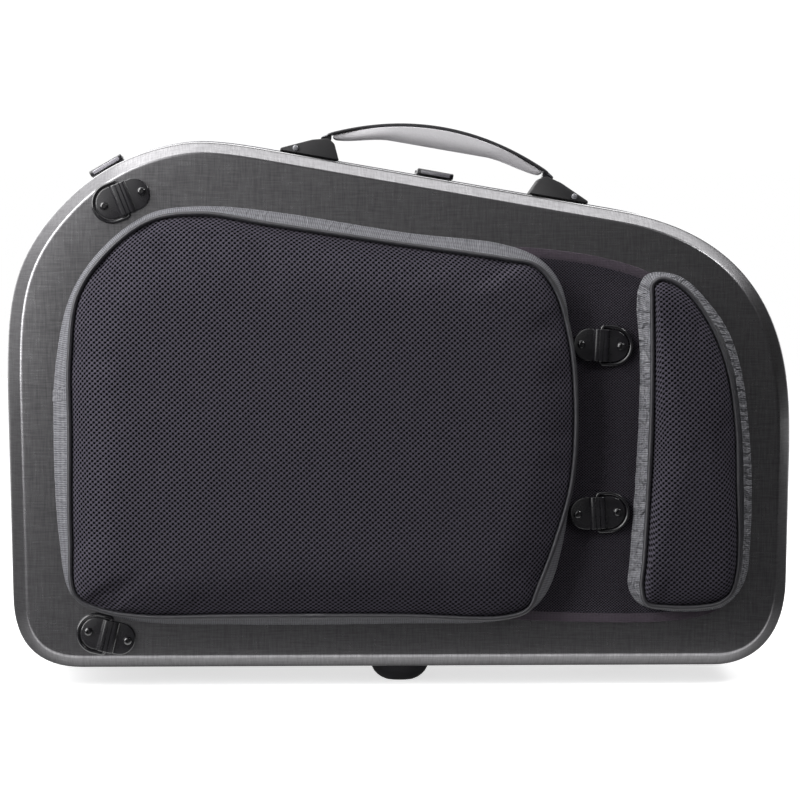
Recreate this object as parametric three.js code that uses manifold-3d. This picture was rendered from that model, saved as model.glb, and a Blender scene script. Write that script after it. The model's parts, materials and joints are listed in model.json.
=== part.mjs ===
// French horn case: a rigid two-shell case that stands on its straight long side.
// The flat back carries two mesh cushions and four strap rings, the domed front is the lid.
// Millimetres, +X towards the shallow end, +Y towards the domed front, +Z up to the handle.

import * as THREE from 'three';
import { mergeVertices } from 'three/addons/utils/BufferGeometryUtils.js';
import Module from 'manifold-3d';

const wasm = await Module();
wasm.setup();

// Overall case
const caseLength = 650;
const caseHeight = 434;
const backDepth = 95;
const frontShallowDepth = 75;
const frontDeepDepth = 229;
const deepEndShare = -0.3538;
const shallowEndShare = 0.2308;
const floorLift = 15.6;
const wall = 5;
const backEdgeRadius = 15;
const wallDraft = 2.5;
const frontEdgeShare = 0.32;
const gap = 0.3;
const cutOverrun = 2;

// Rims and seal
const rimLeg = 1;
const rimDepth = 9;
const rimWeb = 1.9;
const sealThickness = 1.6;
const sealInset = 0.5;
const sealWidth = 4;

// Lining and foam
const liningThickness = 3;
const foamHeight = 70;
const trayLength = 84;
const trayHeight = 114;
const trayDepth = 50;
const trayWall = 2.5;
const trayMiddleShare = 0.3846;
const trayRiseShare = 0.2719;
const mouthpieceRadius = 13.5;
const mouthpiecePitch = 42;
const blockLength = 42;
const blockHeight = 86;
const blockMiddleShare = 0.3723;
const fittingWeb = 16;
const lidPadLength = 120;
const lidPadThickness = 18;
const lidPadEndMargin = 43;
const lidPadFootMargin = 80;
const lidPadHeadMargin = 144;
const lidPadCorner = 20;

// Cushions on the back
const panelThickness = 1.6;
const cushionSideHeight = 12;
const cushionCrown = 9;
const cushionTuck = 2;
const cushionShoulder = 4;
const ribbonThickness = 1.2;
const pipingRadius = 2;
const backPadEndMargin = 39.85;
const backPadFootMargin = 33.35;
const backPadHeadMargin = 53.35;
const shoulderPadLength = 102.2;
const shoulderPadEndMargin = 35.5;
const shoulderPadFootMargin = 45.95;
const shoulderPadHeadMargin = 108.15;

// Strap rings and their plates
const plateLength = 45.6;
const plateWidth = 26.6;
const plateThickness = 3;
const plateNestle = 5.85;
const upperStrapClearance = 7.5;
const lowerStrapClearance = 3.6;
const sideStrapClearance = 1.2;
const bridgeHeight = 6;
const bridgeWidth = 10;
const bridgeFoot = 14;
const ringWire = 3;
const ringWidth = 34;
const ringReach = 26.5;
const strapScrewSpacing = 33;
const strapScrewRadius = 3.5;
const strapScrewHeight = 2.2;
const strapScrewSocket = 1.5;

// Handle
const handleHalfLength = 107.7;
const handleCrest = 44.7;
const handleFoot = 16.2;
const handleDepthPlace = 50;
const handleWidth = 30;
const stripWidth = 24;
const stripThickness = 2.5;
const stripHalfLength = 98.5;
const gripHalfLength = 88.4;
const gripEndWidth = 18;
const gripUnderside = 26.4;
const gripEndUnderside = 18.8;
const gripFlatHalf = 40;
const footWidth = 26;
const footBase = 1.9;
const footInner = 80.7;
const footInnerTop = 86.8;
const footApex = 92.4;
const footApexHeight = 19;
const footInnerHeight = 15.3;
const footShoulder = 105.6;
const footShoulderHeight = 15.6;
const footTip = 130.5;
const footTipHeight = 4.3;
const handlePinPlace = 118.3;
const handlePinHeight = 6.2;
const handlePinRadius = 1.6;
const handlePinHead = 2.9;
const handlePinHeadHeight = 1.4;

// Latches
const latchWidth = 31;
const latchBaseThickness = 1.4;
const latchBaseLength = 24;
const latchEarWidth = 3;
const latchEarHeight = 4.4;
const latchEarLength = 12;
const leverThickness = 4;
const leverWidth = 23.6;
const leverTip = 15;
const leverPivot = 17;
const leverPivotHeight = 3.4;
const leverPivotRadius = 1.2;
const leverLipHeight = 1;
const keeperLength = 13;
const keeperEnd = 2.2;
const keeperHeight = 5.2;

// Hinges
const hingeWidth = 60;
const hingeLeaf = 20;
const hingeLeafThickness = 1.6;
const hingeBarrelRadius = 3.2;
const hingePinRadius = 1.6;
const hingePinHead = 2.6;
const hingePlace = 175;

// Feet
const centreFootLength = 48.3;
const centreFootMiddle = 1.5;
const centreFootWidth = 34;
const centreFootPlace = 49;
const soleLength = 17.7;
const soleWidth = 16;
const frontFootRadius = 15;
const frontSoleRadius = 9;
const frontFootPlace = 200;
const frontFootDepthShare = 0.5;

// Counts of sides and steps
const tubeSides = 6;
const roundSides = 12;
const screwSides = 8;
const filletSteps = 3;
const frontFilletSteps = 3;
const padStations = 46;
const ringArcSteps = 9;
const ringCornerSteps = 2;
const parabolaSteps = 12;
const gripStations = 10;
const footSides = 16;
const heelSteps = 4;

// Colours
const graphite = new THREE.MeshStandardMaterial({ color: 0x4a4a49, roughness: 0.35, metalness: 0.1 });
const rimMetal = new THREE.MeshStandardMaterial({ color: 0x8f8d92, roughness: 0.4, metalness: 0.8 });
const rubber = new THREE.MeshStandardMaterial({ color: 0x2c2b2e, roughness: 0.8 });
const velvet = new THREE.MeshStandardMaterial({ color: 0x2a2c33, roughness: 0.95 });
const foam = new THREE.MeshStandardMaterial({ color: 0x33353d, roughness: 0.95 });
const meshCloth = new THREE.MeshStandardMaterial({ color: 0x3a3840, roughness: 0.9 });
const panelCloth = new THREE.MeshStandardMaterial({ color: 0x26252a, roughness: 0.9 });
const ribbonCloth = new THREE.MeshStandardMaterial({ color: 0x96999f, roughness: 0.75 });
const pipingCloth = new THREE.MeshStandardMaterial({ color: 0x1d1d22, roughness: 0.5 });
const blackPlastic = new THREE.MeshStandardMaterial({ color: 0x1e1e22, roughness: 0.45 });
const blackMetal = new THREE.MeshStandardMaterial({ color: 0x242428, roughness: 0.3, metalness: 0.7 });
const brightMetal = new THREE.MeshStandardMaterial({ color: 0xd0d0d4, roughness: 0.2, metalness: 1 });
const gripRubber = new THREE.MeshStandardMaterial({ color: 0xa9a6ab, roughness: 0.6 });

// Shared measures
const draftRun = backDepth - backEdgeRadius;
const caseMiddle = floorLift + caseHeight / 2;
const liningOuter = wall + gap;
const liningInner = liningOuter + liningThickness;
const rimProud = gap + rimLeg;
const fittingFloor = liningInner + gap;
const cushionBase = gap + panelThickness + gap;
const deepEnd = deepEndShare * caseLength;
const shallowEnd = shallowEndShare * caseLength;
const trayMiddle = trayMiddleShare * caseLength;
const trayRise = trayRiseShare * caseHeight;
const blockMiddle = blockMiddleShare * caseLength;
const blockRise = trayRise + trayHeight / 2 + fittingWeb + blockHeight / 2;
const lidPadHeight = caseHeight - lidPadFootMargin - lidPadHeadMargin;
const lidPadMiddle = caseLength / 2 - lidPadEndMargin - lidPadLength / 2;
const lidPadRise = lidPadFootMargin + lidPadHeight / 2;
const padGap = plateLength - plateNestle;
const padEndMargins = backPadEndMargin + shoulderPadEndMargin;
const backPadLength = caseLength - padEndMargins - padGap - shoulderPadLength;
const backPadHeight = caseHeight - backPadFootMargin - backPadHeadMargin;
const backPadMiddle = backPadEndMargin + backPadLength / 2 - caseLength / 2;
const backPadRise = backPadFootMargin + backPadHeight / 2;
const shoulderPadHeight = caseHeight - shoulderPadFootMargin - shoulderPadHeadMargin;
const shoulderPadMiddle = caseLength / 2 - shoulderPadEndMargin - shoulderPadLength / 2;
const shoulderPadRise = shoulderPadFootMargin + shoulderPadHeight / 2;
const ringCorner = (ringWidth - ringWire - plateWidth) / 2;
const backRimTip = backDepth - sealThickness - gap - gap;
const backRimFoot = backRimTip - rimDepth;
const frontRimFoot = backDepth + rimDepth;

// Outline of the case seen from the back, walked anticlockwise from the bottom left.
// Each row is a line of two places or a curve of four, as shares of length and height.
const outlineShares = {
  bottom: { steps: 7, places: [[-0.4043, 0], [0.4031, 0]] },
  lowerRight: { steps: 6, places: [[0.4031, 0], [0.4259, 0], [0.4929, 0.0139], [0.4949, 0.1633]] },
  right: { steps: 2, places: [[0.4949, 0.1633], [0.4987, 0.4117]] },
  upperRight: { steps: 11, places: [[0.4987, 0.4117], [0.4987, 0.535], [0.5071, 0.8111], [0.2819, 0.8691]] },
  slope: { steps: 5, places: [[0.2819, 0.8691], [-0.1582, 0.9828]] },
  crest: { steps: 2, places: [[-0.1582, 0.9828], [-0.1761, 0.9874], [-0.221, 1], [-0.2538, 1]] },
  upperLeft: { steps: 4, places: [[-0.2538, 1], [-0.2779, 1], [-0.3593, 0.9853], [-0.4235, 0.8892]] },
  leftArc: { steps: 5, places: [[-0.4235, 0.8892], [-0.4987, 0.7765], [-0.4987, 0.6842], [-0.4987, 0.5358]] },
  left: { steps: 3, places: [[-0.4987, 0.5358], [-0.4923, 0.1442]] },
  lowerLeft: { steps: 7, places: [[-0.4923, 0.1442], [-0.4917, 0.1072], [-0.4917, 0], [-0.4043, 0]] },
};

// Places of the latches and the handle along their stretches of the outline
const handleShare = 0.5385;
const topLatchShare = 0.528;
const leftLatchShare = 0.75;
const rightLatchShare = 0.7;

function outlineCurve(places) {
  const points = places.map(
    ([x, z]) => new THREE.Vector2(x * caseLength, floorLift + z * caseHeight)
  );
  return points.length === 2
    ? new THREE.LineCurve(points[0], points[1])
    : new THREE.CubicBezierCurve(points[0], points[1], points[2], points[3]);
}

function outlinePlace(stretch, share) {
  const curve = outlineCurve(outlineShares[stretch].places);
  const point = curve.getPoint(share);
  const tangent = curve.getTangent(share);
  return { x: point.x, z: point.y, nx: tangent.y, nz: -tangent.x };
}

const stations = Object.entries(outlineShares).flatMap(([stretch, { steps }]) =>
  Array.from({ length: steps }, (_, step) => outlinePlace(stretch, step / steps))
);

// A point of the outline moved out by an offset, at a depth from the back face
function outlinePoint(station, offset, depth) {
  return new THREE.Vector3(
    station.x + station.nx * offset,
    depth,
    station.z + station.nz * offset
  );
}

function outlineRing(offset, depth) {
  return stations.map((station) => outlinePoint(station, offset, depth));
}

// Builders of closed bodies
function facing(points, triangles) {
  let volume = 0;
  const cross = new THREE.Vector3();
  for (const [a, b, c] of triangles) {
    volume += cross.crossVectors(points[b], points[c]).dot(points[a]);
  }
  const turned = volume < 0 ? triangles.map(([a, b, c]) => [a, c, b]) : triangles;
  const geometry = new THREE.BufferGeometry().setFromPoints(points);
  geometry.setIndex(turned.flat());
  geometry.computeVertexNormals();
  return geometry;
}

function bandTriangles(first, second, count) {
  const triangles = [];
  for (let i = 0; i < count; i += 1) {
    const next = (i + 1) % count;
    triangles.push([first + i, first + next, second + next]);
    triangles.push([first + i, second + next, second + i]);
  }
  return triangles;
}

function capTriangles(ring, across, up) {
  const contour = ring.map((point) => new THREE.Vector2(point[across], point[up]));
  return THREE.ShapeUtils.triangulateShape(contour, []);
}

// Rings walked anticlockwise and joined in turn, with the first and the last ring closed
function cappedLoft(rings, across, up) {
  const count = rings[0].length;
  const last = (rings.length - 1) * count;
  const triangles = [];
  for (let ring = 0; ring + 1 < rings.length; ring += 1) {
    triangles.push(...bandTriangles(ring * count, (ring + 1) * count, count));
  }
  for (const [a, b, c] of capTriangles(rings[0], across, up)) {
    triangles.push([a, c, b]);
  }
  for (const [a, b, c] of capTriangles(rings[rings.length - 1], across, up)) {
    triangles.push([last + a, last + b, last + c]);
  }
  return facing(rings.flat(), triangles);
}

// Sections of equal length joined all the way round into a closed hoop
function hoop(sections) {
  const count = sections[0].length;
  const triangles = [];
  sections.forEach((_, index) => {
    const next = (index + 1) % sections.length;
    triangles.push(...bandTriangles(index * count, next * count, count));
  });
  return facing(sections.flat(), triangles);
}

// A round tube along a closed loop that lies in one plane of constant depth
function tubeLoop(loop, radius, sides) {
  const depthAxis = new THREE.Vector3(0, 1, 0);
  return hoop(
    loop.map((point, index) => {
      const before = loop[(index + loop.length - 1) % loop.length];
      const after = loop[(index + 1) % loop.length];
      const tangent = new THREE.Vector3().subVectors(after, before).normalize();
      const outward = new THREE.Vector3().crossVectors(tangent, depthAxis);
      return Array.from({ length: sides }, (_, side) => {
        const angle = (2 * Math.PI * side) / sides;
        return point
          .clone()
          .addScaledVector(outward, radius * Math.cos(angle))
          .addScaledVector(depthAxis, radius * Math.sin(angle));
      });
    })
  );
}

// Extrusions turned so that the profile's width runs along one axis of the case
function turned(geometry, x, y, z) {
  return geometry.applyMatrix4(new THREE.Matrix4().makeBasis(x, y, z));
}

const xAxis = new THREE.Vector3(1, 0, 0);
const yAxis = new THREE.Vector3(0, 1, 0);
const zAxis = new THREE.Vector3(0, 0, 1);

function extruded(shape, length, curveSegments = roundSides) {
  return new THREE.ExtrudeGeometry(shape, {
    depth: length,
    bevelEnabled: false,
    curveSegments,
    steps: 1,
  });
}

// Profile across Y and Z, centred on x = 0
function acrossX(shape, length, curveSegments) {
  const geometry = extruded(shape, length, curveSegments).translate(0, 0, -length / 2);
  return turned(geometry, yAxis, zAxis, xAxis);
}

// Profile across X and Z, from y = 0 towards +Y
function acrossY(shape, length, curveSegments) {
  const geometry = extruded(shape, length, curveSegments).translate(0, 0, -length);
  return turned(geometry, xAxis, zAxis, yAxis.clone().negate());
}

// Outer outlines are walked anticlockwise and holes clockwise
function walked(places, anticlockwise) {
  const points = places.map(([x, y]) => new THREE.Vector2(x, y));
  return THREE.ShapeUtils.isClockWise(points) === anticlockwise ? points.reverse() : points;
}

function polygon(places) {
  return new THREE.Shape(walked(places, true));
}

function hole(places) {
  return new THREE.Path(walked(places, false));
}

function circle(x, y, radius, sides) {
  return Array.from({ length: sides }, (_, side) => {
    const angle = (2 * Math.PI * (side + 1 / 2)) / sides;
    return [x + radius * Math.cos(angle), y + radius * Math.sin(angle)];
  });
}

// Booleans
function solidOf(geometry) {
  const bare = geometry.clone();
  bare.deleteAttribute('normal');
  bare.deleteAttribute('uv');
  const merged = mergeVertices(bare);
  return new wasm.Manifold(
    new wasm.Mesh({
      numProp: 3,
      vertProperties: new Float32Array(merged.attributes.position.array),
      triVerts: new Uint32Array(merged.index.array),
    })
  );
}

function geometryOf(solid) {
  const mesh = solid.getMesh();
  const geometry = new THREE.BufferGeometry();
  geometry.setAttribute('position', new THREE.BufferAttribute(mesh.vertProperties, mesh.numProp));
  geometry.setIndex(new THREE.BufferAttribute(mesh.triVerts, 1));
  geometry.computeVertexNormals();
  return geometry;
}

function joined(geometries) {
  return geometryOf(
    geometries.map(solidOf).reduce((whole, piece) => whole.add(piece))
  );
}

function cut(geometry, tool) {
  return geometryOf(solidOf(geometry).subtract(solidOf(tool)));
}

const caseGroup = new THREE.Group();

function addPiece(name, geometry, material, parent = caseGroup) {
  const mesh = new THREE.Mesh(geometry, material.clone());
  mesh.name = name;
  parent.add(mesh);
  return mesh;
}

function backDraft(depth) {
  return (wallDraft * (depth - backEdgeRadius)) / draftRun;
}

// Back skins: surfaces at an inset from the outside of the back shell
function backSkin(inset, lip) {
  const radius = backEdgeRadius - inset;
  const rings = [outlineRing(backDraft(lip) - inset, lip)];
  for (let step = 0; step <= filletSteps; step += 1) {
    const angle = (step / filletSteps) * (Math.PI / 2);
    const offset = radius * (Math.cos(angle) - 1) - inset;
    rings.push(outlineRing(offset, backEdgeRadius - radius * Math.sin(angle)));
  }
  return rings;
}

// Upright rungs across the outline, each between the lower and the upper edge
function faceTriangles() {
  const count = stations.length;
  const places = stations.map((station) => station.x);
  const left = places.indexOf(Math.min(...places));
  const right = places.indexOf(Math.max(...places));
  const triangles = [];
  let low = left;
  let high = left;
  while (low !== right || high !== right) {
    const nextLow = (low + 1) % count;
    const nextHigh = (high + count - 1) % count;
    const lowerMoves = high === right || (low !== right && places[nextLow] < places[nextHigh]);
    const next = lowerMoves ? nextLow : nextHigh;
    if (low !== high && next !== low && next !== high) triangles.push([low, next, high]);
    if (lowerMoves) low = nextLow;
    else high = nextHigh;
  }
  return triangles;
}

// A shell between two skins, each a row of rings from the open lip to the closed face
function skinBody(outer, inner) {
  const count = stations.length;
  const start = outer.length * count;
  const outerLast = (outer.length - 1) * count;
  const innerLast = start + (inner.length - 1) * count;
  const triangles = bandTriangles(start, 0, count);
  for (let ring = 0; ring + 1 < outer.length; ring += 1) {
    triangles.push(...bandTriangles(ring * count, (ring + 1) * count, count));
  }
  for (let ring = 0; ring + 1 < inner.length; ring += 1) {
    const first = start + ring * count;
    const band = bandTriangles(first, first + count, count);
    triangles.push(...band.map(([a, b, c]) => [a, c, b]));
  }
  for (const [a, b, c] of faceTriangles()) {
    triangles.push([outerLast + a, outerLast + b, outerLast + c]);
    triangles.push([innerLast + a, innerLast + c, innerLast + b]);
  }
  return facing([...outer.flat(), ...inner.flat()], triangles);
}

// Front skins: the depth falls in one smooth sweep from the bell end to the shallow end
function frontDepth(x) {
  const share = THREE.MathUtils.smoothstep(x, deepEnd, shallowEnd);
  return frontDeepDepth + (frontShallowDepth - frontDeepDepth) * share;
}

function frontDraft(depth) {
  return wallDraft * (1 - (depth - backDepth) / draftRun);
}

function shrunk(point, inset) {
  return new THREE.Vector3(
    point.x * (1 - inset / (caseLength / 2)),
    point.y,
    caseMiddle + (point.z - caseMiddle) * (1 - inset / (caseHeight / 2))
  );
}

function frontSkin(inset, lip) {
  const rings = [outlineRing(frontDraft(lip) - inset, lip)];
  for (let step = 0; step <= frontFilletSteps; step += 1) {
    const angle = (step / frontFilletSteps) * (Math.PI / 2);
    rings.push(
      stations.map((station) => {
        const radius = frontEdgeShare * frontDepth(station.x);
        const wallEnd = backDepth + frontDepth(station.x) - radius;
        const side = outlinePoint(station, frontDraft(wallEnd) - inset * Math.cos(angle), 0);
        const place = shrunk(side, radius * (1 - Math.cos(angle)));
        const outer = shrunk(
          outlinePoint(station, frontDraft(wallEnd), 0),
          radius * (1 - Math.cos(angle))
        );
        const top = backDepth + frontDepth(outer.x);
        place.y = top - radius * (1 - Math.sin(angle)) - inset * Math.sin(angle);
        return place;
      })
    );
  }
  return rings;
}

// Back shell, its lining and the foam bed that holds the horn
function addBackShell() {
  const lip = backRimTip - rimWeb - gap;
  const shell = skinBody(backSkin(0, lip), backSkin(wall, lip));
  addPiece('back_shell', shell, graphite);
  const liningLip = backRimFoot - gap;
  const lining = skinBody(backSkin(liningOuter, liningLip), backSkin(liningInner, liningLip));
  addPiece('back_lining', lining, velvet);
}

// Horn-shaped pocket of the foam bed, as shares of the case's length and height
const pocketShares = [
  [-0.435, 0.138], [-0.438, 0.461], [-0.428, 0.74], [-0.362, 0.845], [-0.262, 0.806],
  [-0.123, 0.795], [0.031, 0.795], [0.185, 0.749], [0.27, 0.622], [0.287, 0.415],
  [0.27, 0.207], [0.185, 0.104], [0, 0.081], [-0.185, 0.088], [-0.338, 0.092],
];
const pocketSteps = 30;

// The four corners of an upright rectangle whose middle lies at a height over the shell's foot
function rectangle(middle, rise, length, height) {
  return [[-1, -1], [1, -1], [1, 1], [-1, 1]].map(([across, up]) => [
    middle + (across * length) / 2,
    floorLift + rise + (up * height) / 2,
  ]);
}

function addFoamBed() {
  const edge = outlineRing(-(backEdgeRadius + gap), 0);
  const bed = new THREE.Shape(edge.map((point) => new THREE.Vector2(point.x, point.z)));
  const pocket = new THREE.CatmullRomCurve3(
    pocketShares.map(
      ([x, z]) => new THREE.Vector3(x * caseLength, floorLift + z * caseHeight, 0)
    ),
    true,
    'centripetal'
  );
  bed.holes.push(hole(pocket.getPoints(pocketSteps).slice(0, pocketSteps).map((p) => [p.x, p.y])));
  bed.holes.push(hole(rectangle(trayMiddle, trayRise, trayLength + 2 * gap, trayHeight + 2 * gap)));
  bed.holes.push(hole(rectangle(blockMiddle, blockRise, blockLength + 2 * gap, blockHeight + 2 * gap)));
  const block = acrossY(bed, foamHeight).translate(0, fittingFloor, 0);
  addPiece('foam_bed', block, foam);
}

// Foam block with two round holes in which mouthpieces stand
function addMouthpieceBlock() {
  const block = polygon(rectangle(blockMiddle, blockRise, blockLength, blockHeight));
  for (const side of [-1, 1]) {
    const rise = floorLift + blockRise + (side * mouthpiecePitch) / 2;
    block.holes.push(hole(circle(blockMiddle, rise, mouthpieceRadius, 2 * roundSides)));
  }
  addPiece('mouthpiece_block', acrossY(block, foamHeight).translate(0, fittingFloor, 0), foam);
}

// Open tray for oil, cloth and small spares, dropped into the foam bed
function addTray() {
  const outer = new THREE.BoxGeometry(trayLength, trayDepth, trayHeight);
  const inner = new THREE.BoxGeometry(
    trayLength - 2 * trayWall,
    trayDepth,
    trayHeight - 2 * trayWall
  ).translate(0, trayWall, 0);
  const tray = cut(outer, inner);
  tray.translate(trayMiddle, fittingFloor + trayDepth / 2, floorLift + trayRise);
  addPiece('accessory_tray', tray, blackPlastic);
}

// Metal rims on the two shell edges and the rubber seal between them
function rimHoop(tip, web, foot, footDraft) {
  const outer = wallDraft + gap;
  const inner = footDraft - wall - gap;
  return hoop(
    stations.map((station) =>
      [
        [outer + rimLeg, foot],
        [outer + rimLeg, tip],
        [inner - rimLeg, tip],
        [inner - rimLeg, foot],
        [inner, foot],
        [inner, web],
        [outer, web],
        [outer, foot],
      ].map(([offset, depth]) => outlinePoint(station, offset, depth))
    )
  );
}

function addRims() {
  const backWeb = backRimTip - rimWeb;
  const backRim = rimHoop(backRimTip, backWeb, backRimFoot, backDraft(backRimFoot));
  addPiece('back_rim', backRim, rimMetal);
  const frontWeb = backDepth + rimWeb;
  const frontRim = rimHoop(backDepth, frontWeb, frontRimFoot, frontDraft(frontRimFoot));
  addPiece('front_rim', frontRim, rimMetal);
  const sealBack = backDepth - sealThickness - gap;
  const seal = hoop(
    stations.map((station) =>
      [
        [wallDraft - sealInset, sealBack],
        [wallDraft - sealInset, backDepth - gap],
        [wallDraft - sealInset - sealWidth, backDepth - gap],
        [wallDraft - sealInset - sealWidth, sealBack],
      ].map(([offset, depth]) => outlinePoint(station, offset, depth))
    )
  );
  addPiece('rim_seal', seal, rubber);
}

// Front shell, its lining and the pad that presses the horn into its bed
function addFrontShell() {
  const lip = backDepth + rimWeb + gap;
  addPiece('front_shell', skinBody(frontSkin(0, lip), frontSkin(wall, lip)), graphite);
  const liningLip = frontRimFoot + gap;
  const lining = skinBody(frontSkin(liningOuter, liningLip), frontSkin(liningInner, liningLip));
  addPiece('front_lining', lining, velvet);
}

function addLidPad() {
  const left = -lidPadLength / 2;
  const low = -lidPadHeight / 2;
  const shape = new THREE.Shape();
  shape.moveTo(left + lidPadCorner, low);
  shape.lineTo(-left - lidPadCorner, low);
  shape.quadraticCurveTo(-left, low, -left, low + lidPadCorner);
  shape.lineTo(-left, -low - lidPadCorner);
  shape.quadraticCurveTo(-left, -low, -left - lidPadCorner, -low);
  shape.lineTo(left + lidPadCorner, -low);
  shape.quadraticCurveTo(left, -low, left, -low - lidPadCorner);
  shape.lineTo(left, low + lidPadCorner);
  shape.quadraticCurveTo(left, low, left + lidPadCorner, low);
  const pad = acrossY(shape, lidPadThickness, filletSteps);
  const seat = backDepth + frontShallowDepth - liningInner - gap;
  pad.translate(lidPadMiddle, seat - lidPadThickness, floorLift + lidPadRise);
  addPiece('lid_pad', pad, foam);
}

// Backing panel of fine mesh that both cushions are sewn to, as shares of the room between
// the far ends of the two cushions and of the large cushion's height
const panelShares = [
  [-0.431, -0.441], [-0.275, -0.471], [-0.005, -0.471], [0.433, -0.471], [0.478, -0.416],
  [0.486, -0.155], [0.476, 0.031], [0.444, 0.186], [0.397, 0.285], [0.358, 0.339], [0.284, 0.379],
  [0.186, 0.402], [0.124, 0.406], [-0.005, 0.431], [-0.19, 0.475], [-0.283, 0.487],
  [-0.359, 0.469], [-0.421, 0.4], [-0.464, 0.291], [-0.485, 0.143], [-0.482, -0.092],
  [-0.474, -0.341],
];
const panelSteps = 44;

function closedCurve(shares, length, height, middle, rise) {
  return new THREE.CatmullRomCurve3(
    shares.map(
      ([x, z]) => new THREE.Vector3(middle + x * length, 0, rise + z * height)
    ),
    true,
    'centripetal'
  );
}

function addPanel() {
  const left = backPadMiddle - backPadLength / 2;
  const right = shoulderPadMiddle + shoulderPadLength / 2;
  const curve = closedCurve(
    panelShares,
    right - left,
    backPadHeight,
    (left + right) / 2,
    floorLift + backPadRise
  );
  const edge = curve.getPoints(panelSteps).slice(0, panelSteps);
  const sheet = acrossY(
    new THREE.Shape(edge.map((point) => new THREE.Vector2(point.x, point.z))),
    panelThickness
  );
  addPiece('pad_panel', sheet.translate(0, -gap - panelThickness, 0), panelCloth);
}

// Cushions. Each pair of places is the sewn base line and the piping line above it,
// as shares of the cushion's length and height from its middle, anticlockwise.
const backPadBaseShares = [
  [-0.424, -0.452], [-0.337, -0.481], [-0.146, -0.489], [0.158, -0.488], [0.357, -0.48],
  [0.413, -0.45], [0.441, -0.405], [0.468, -0.291], [0.483, -0.149], [0.486, 0.04], [0.481, 0.194],
  [0.462, 0.315], [0.424, 0.374], [0.357, 0.409], [0.167, 0.438], [-0.089, 0.488], [-0.213, 0.5],
  [-0.317, 0.483], [-0.405, 0.404], [-0.466, 0.294], [-0.495, 0.135], [-0.5, -0.031],
  [-0.49, -0.28], [-0.468, -0.415],
];
const backPadTopShares = [
  [-0.416, -0.446], [-0.336, -0.464], [-0.146, -0.464], [0.156, -0.465], [0.354, -0.469],
  [0.399, -0.449], [0.417, -0.4], [0.451, -0.287], [0.481, -0.146], [0.488, 0.042], [0.476, 0.195],
  [0.447, 0.31], [0.412, 0.36], [0.354, 0.376], [0.156, 0.411], [-0.093, 0.458], [-0.222, 0.482],
  [-0.316, 0.465], [-0.395, 0.393], [-0.452, 0.291], [-0.468, 0.148], [-0.468, -0.028],
  [-0.467, -0.276], [-0.458, -0.414],
];
const shoulderPadBaseShares = [
  [-0.403, -0.475], [-0.202, -0.494], [0.081, -0.497], [0.258, -0.485], [0.379, -0.449],
  [0.46, -0.393], [0.488, -0.299], [0.5, -0.122], [0.476, 0.04], [0.411, 0.216], [0.298, 0.334],
  [0.105, 0.431], [-0.056, 0.484], [-0.218, 0.502], [-0.363, 0.493], [-0.427, 0.446],
  [-0.407, 0.246], [-0.419, 0.04], [-0.451, -0.166], [-0.484, -0.343], [-0.496, -0.425],
];
const shoulderPadTopShares = [
  [-0.368, -0.467], [-0.199, -0.478], [0.058, -0.478], [0.218, -0.467], [0.314, -0.439],
  [0.362, -0.378], [0.378, -0.293], [0.37, -0.133], [0.358, 0.043], [0.285, 0.218], [0.165, 0.335],
  [-0.003, 0.429], [-0.119, 0.467], [-0.255, 0.484], [-0.327, 0.467], [-0.331, 0.423],
  [-0.327, 0.248], [-0.336, 0.043], [-0.36, -0.161], [-0.388, -0.337], [-0.407, -0.425],
];

// A loop moved inwards in its own plane and set at a depth
function insetLoop(loop, inset, depth) {
  return loop.map((point, index) => {
    const before = loop[(index + loop.length - 1) % loop.length];
    const after = loop[(index + 1) % loop.length];
    const tangent = new THREE.Vector3().subVectors(after, before).normalize();
    return new THREE.Vector3(
      point.x - tangent.z * inset,
      depth,
      point.z + tangent.x * inset
    );
  });
}

function between(lower, upper, share) {
  return lower.map((point, index) => point.clone().lerp(upper[index], share));
}

const cushionCrownShares = [0.16, 0.42, 0.72];

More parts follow.
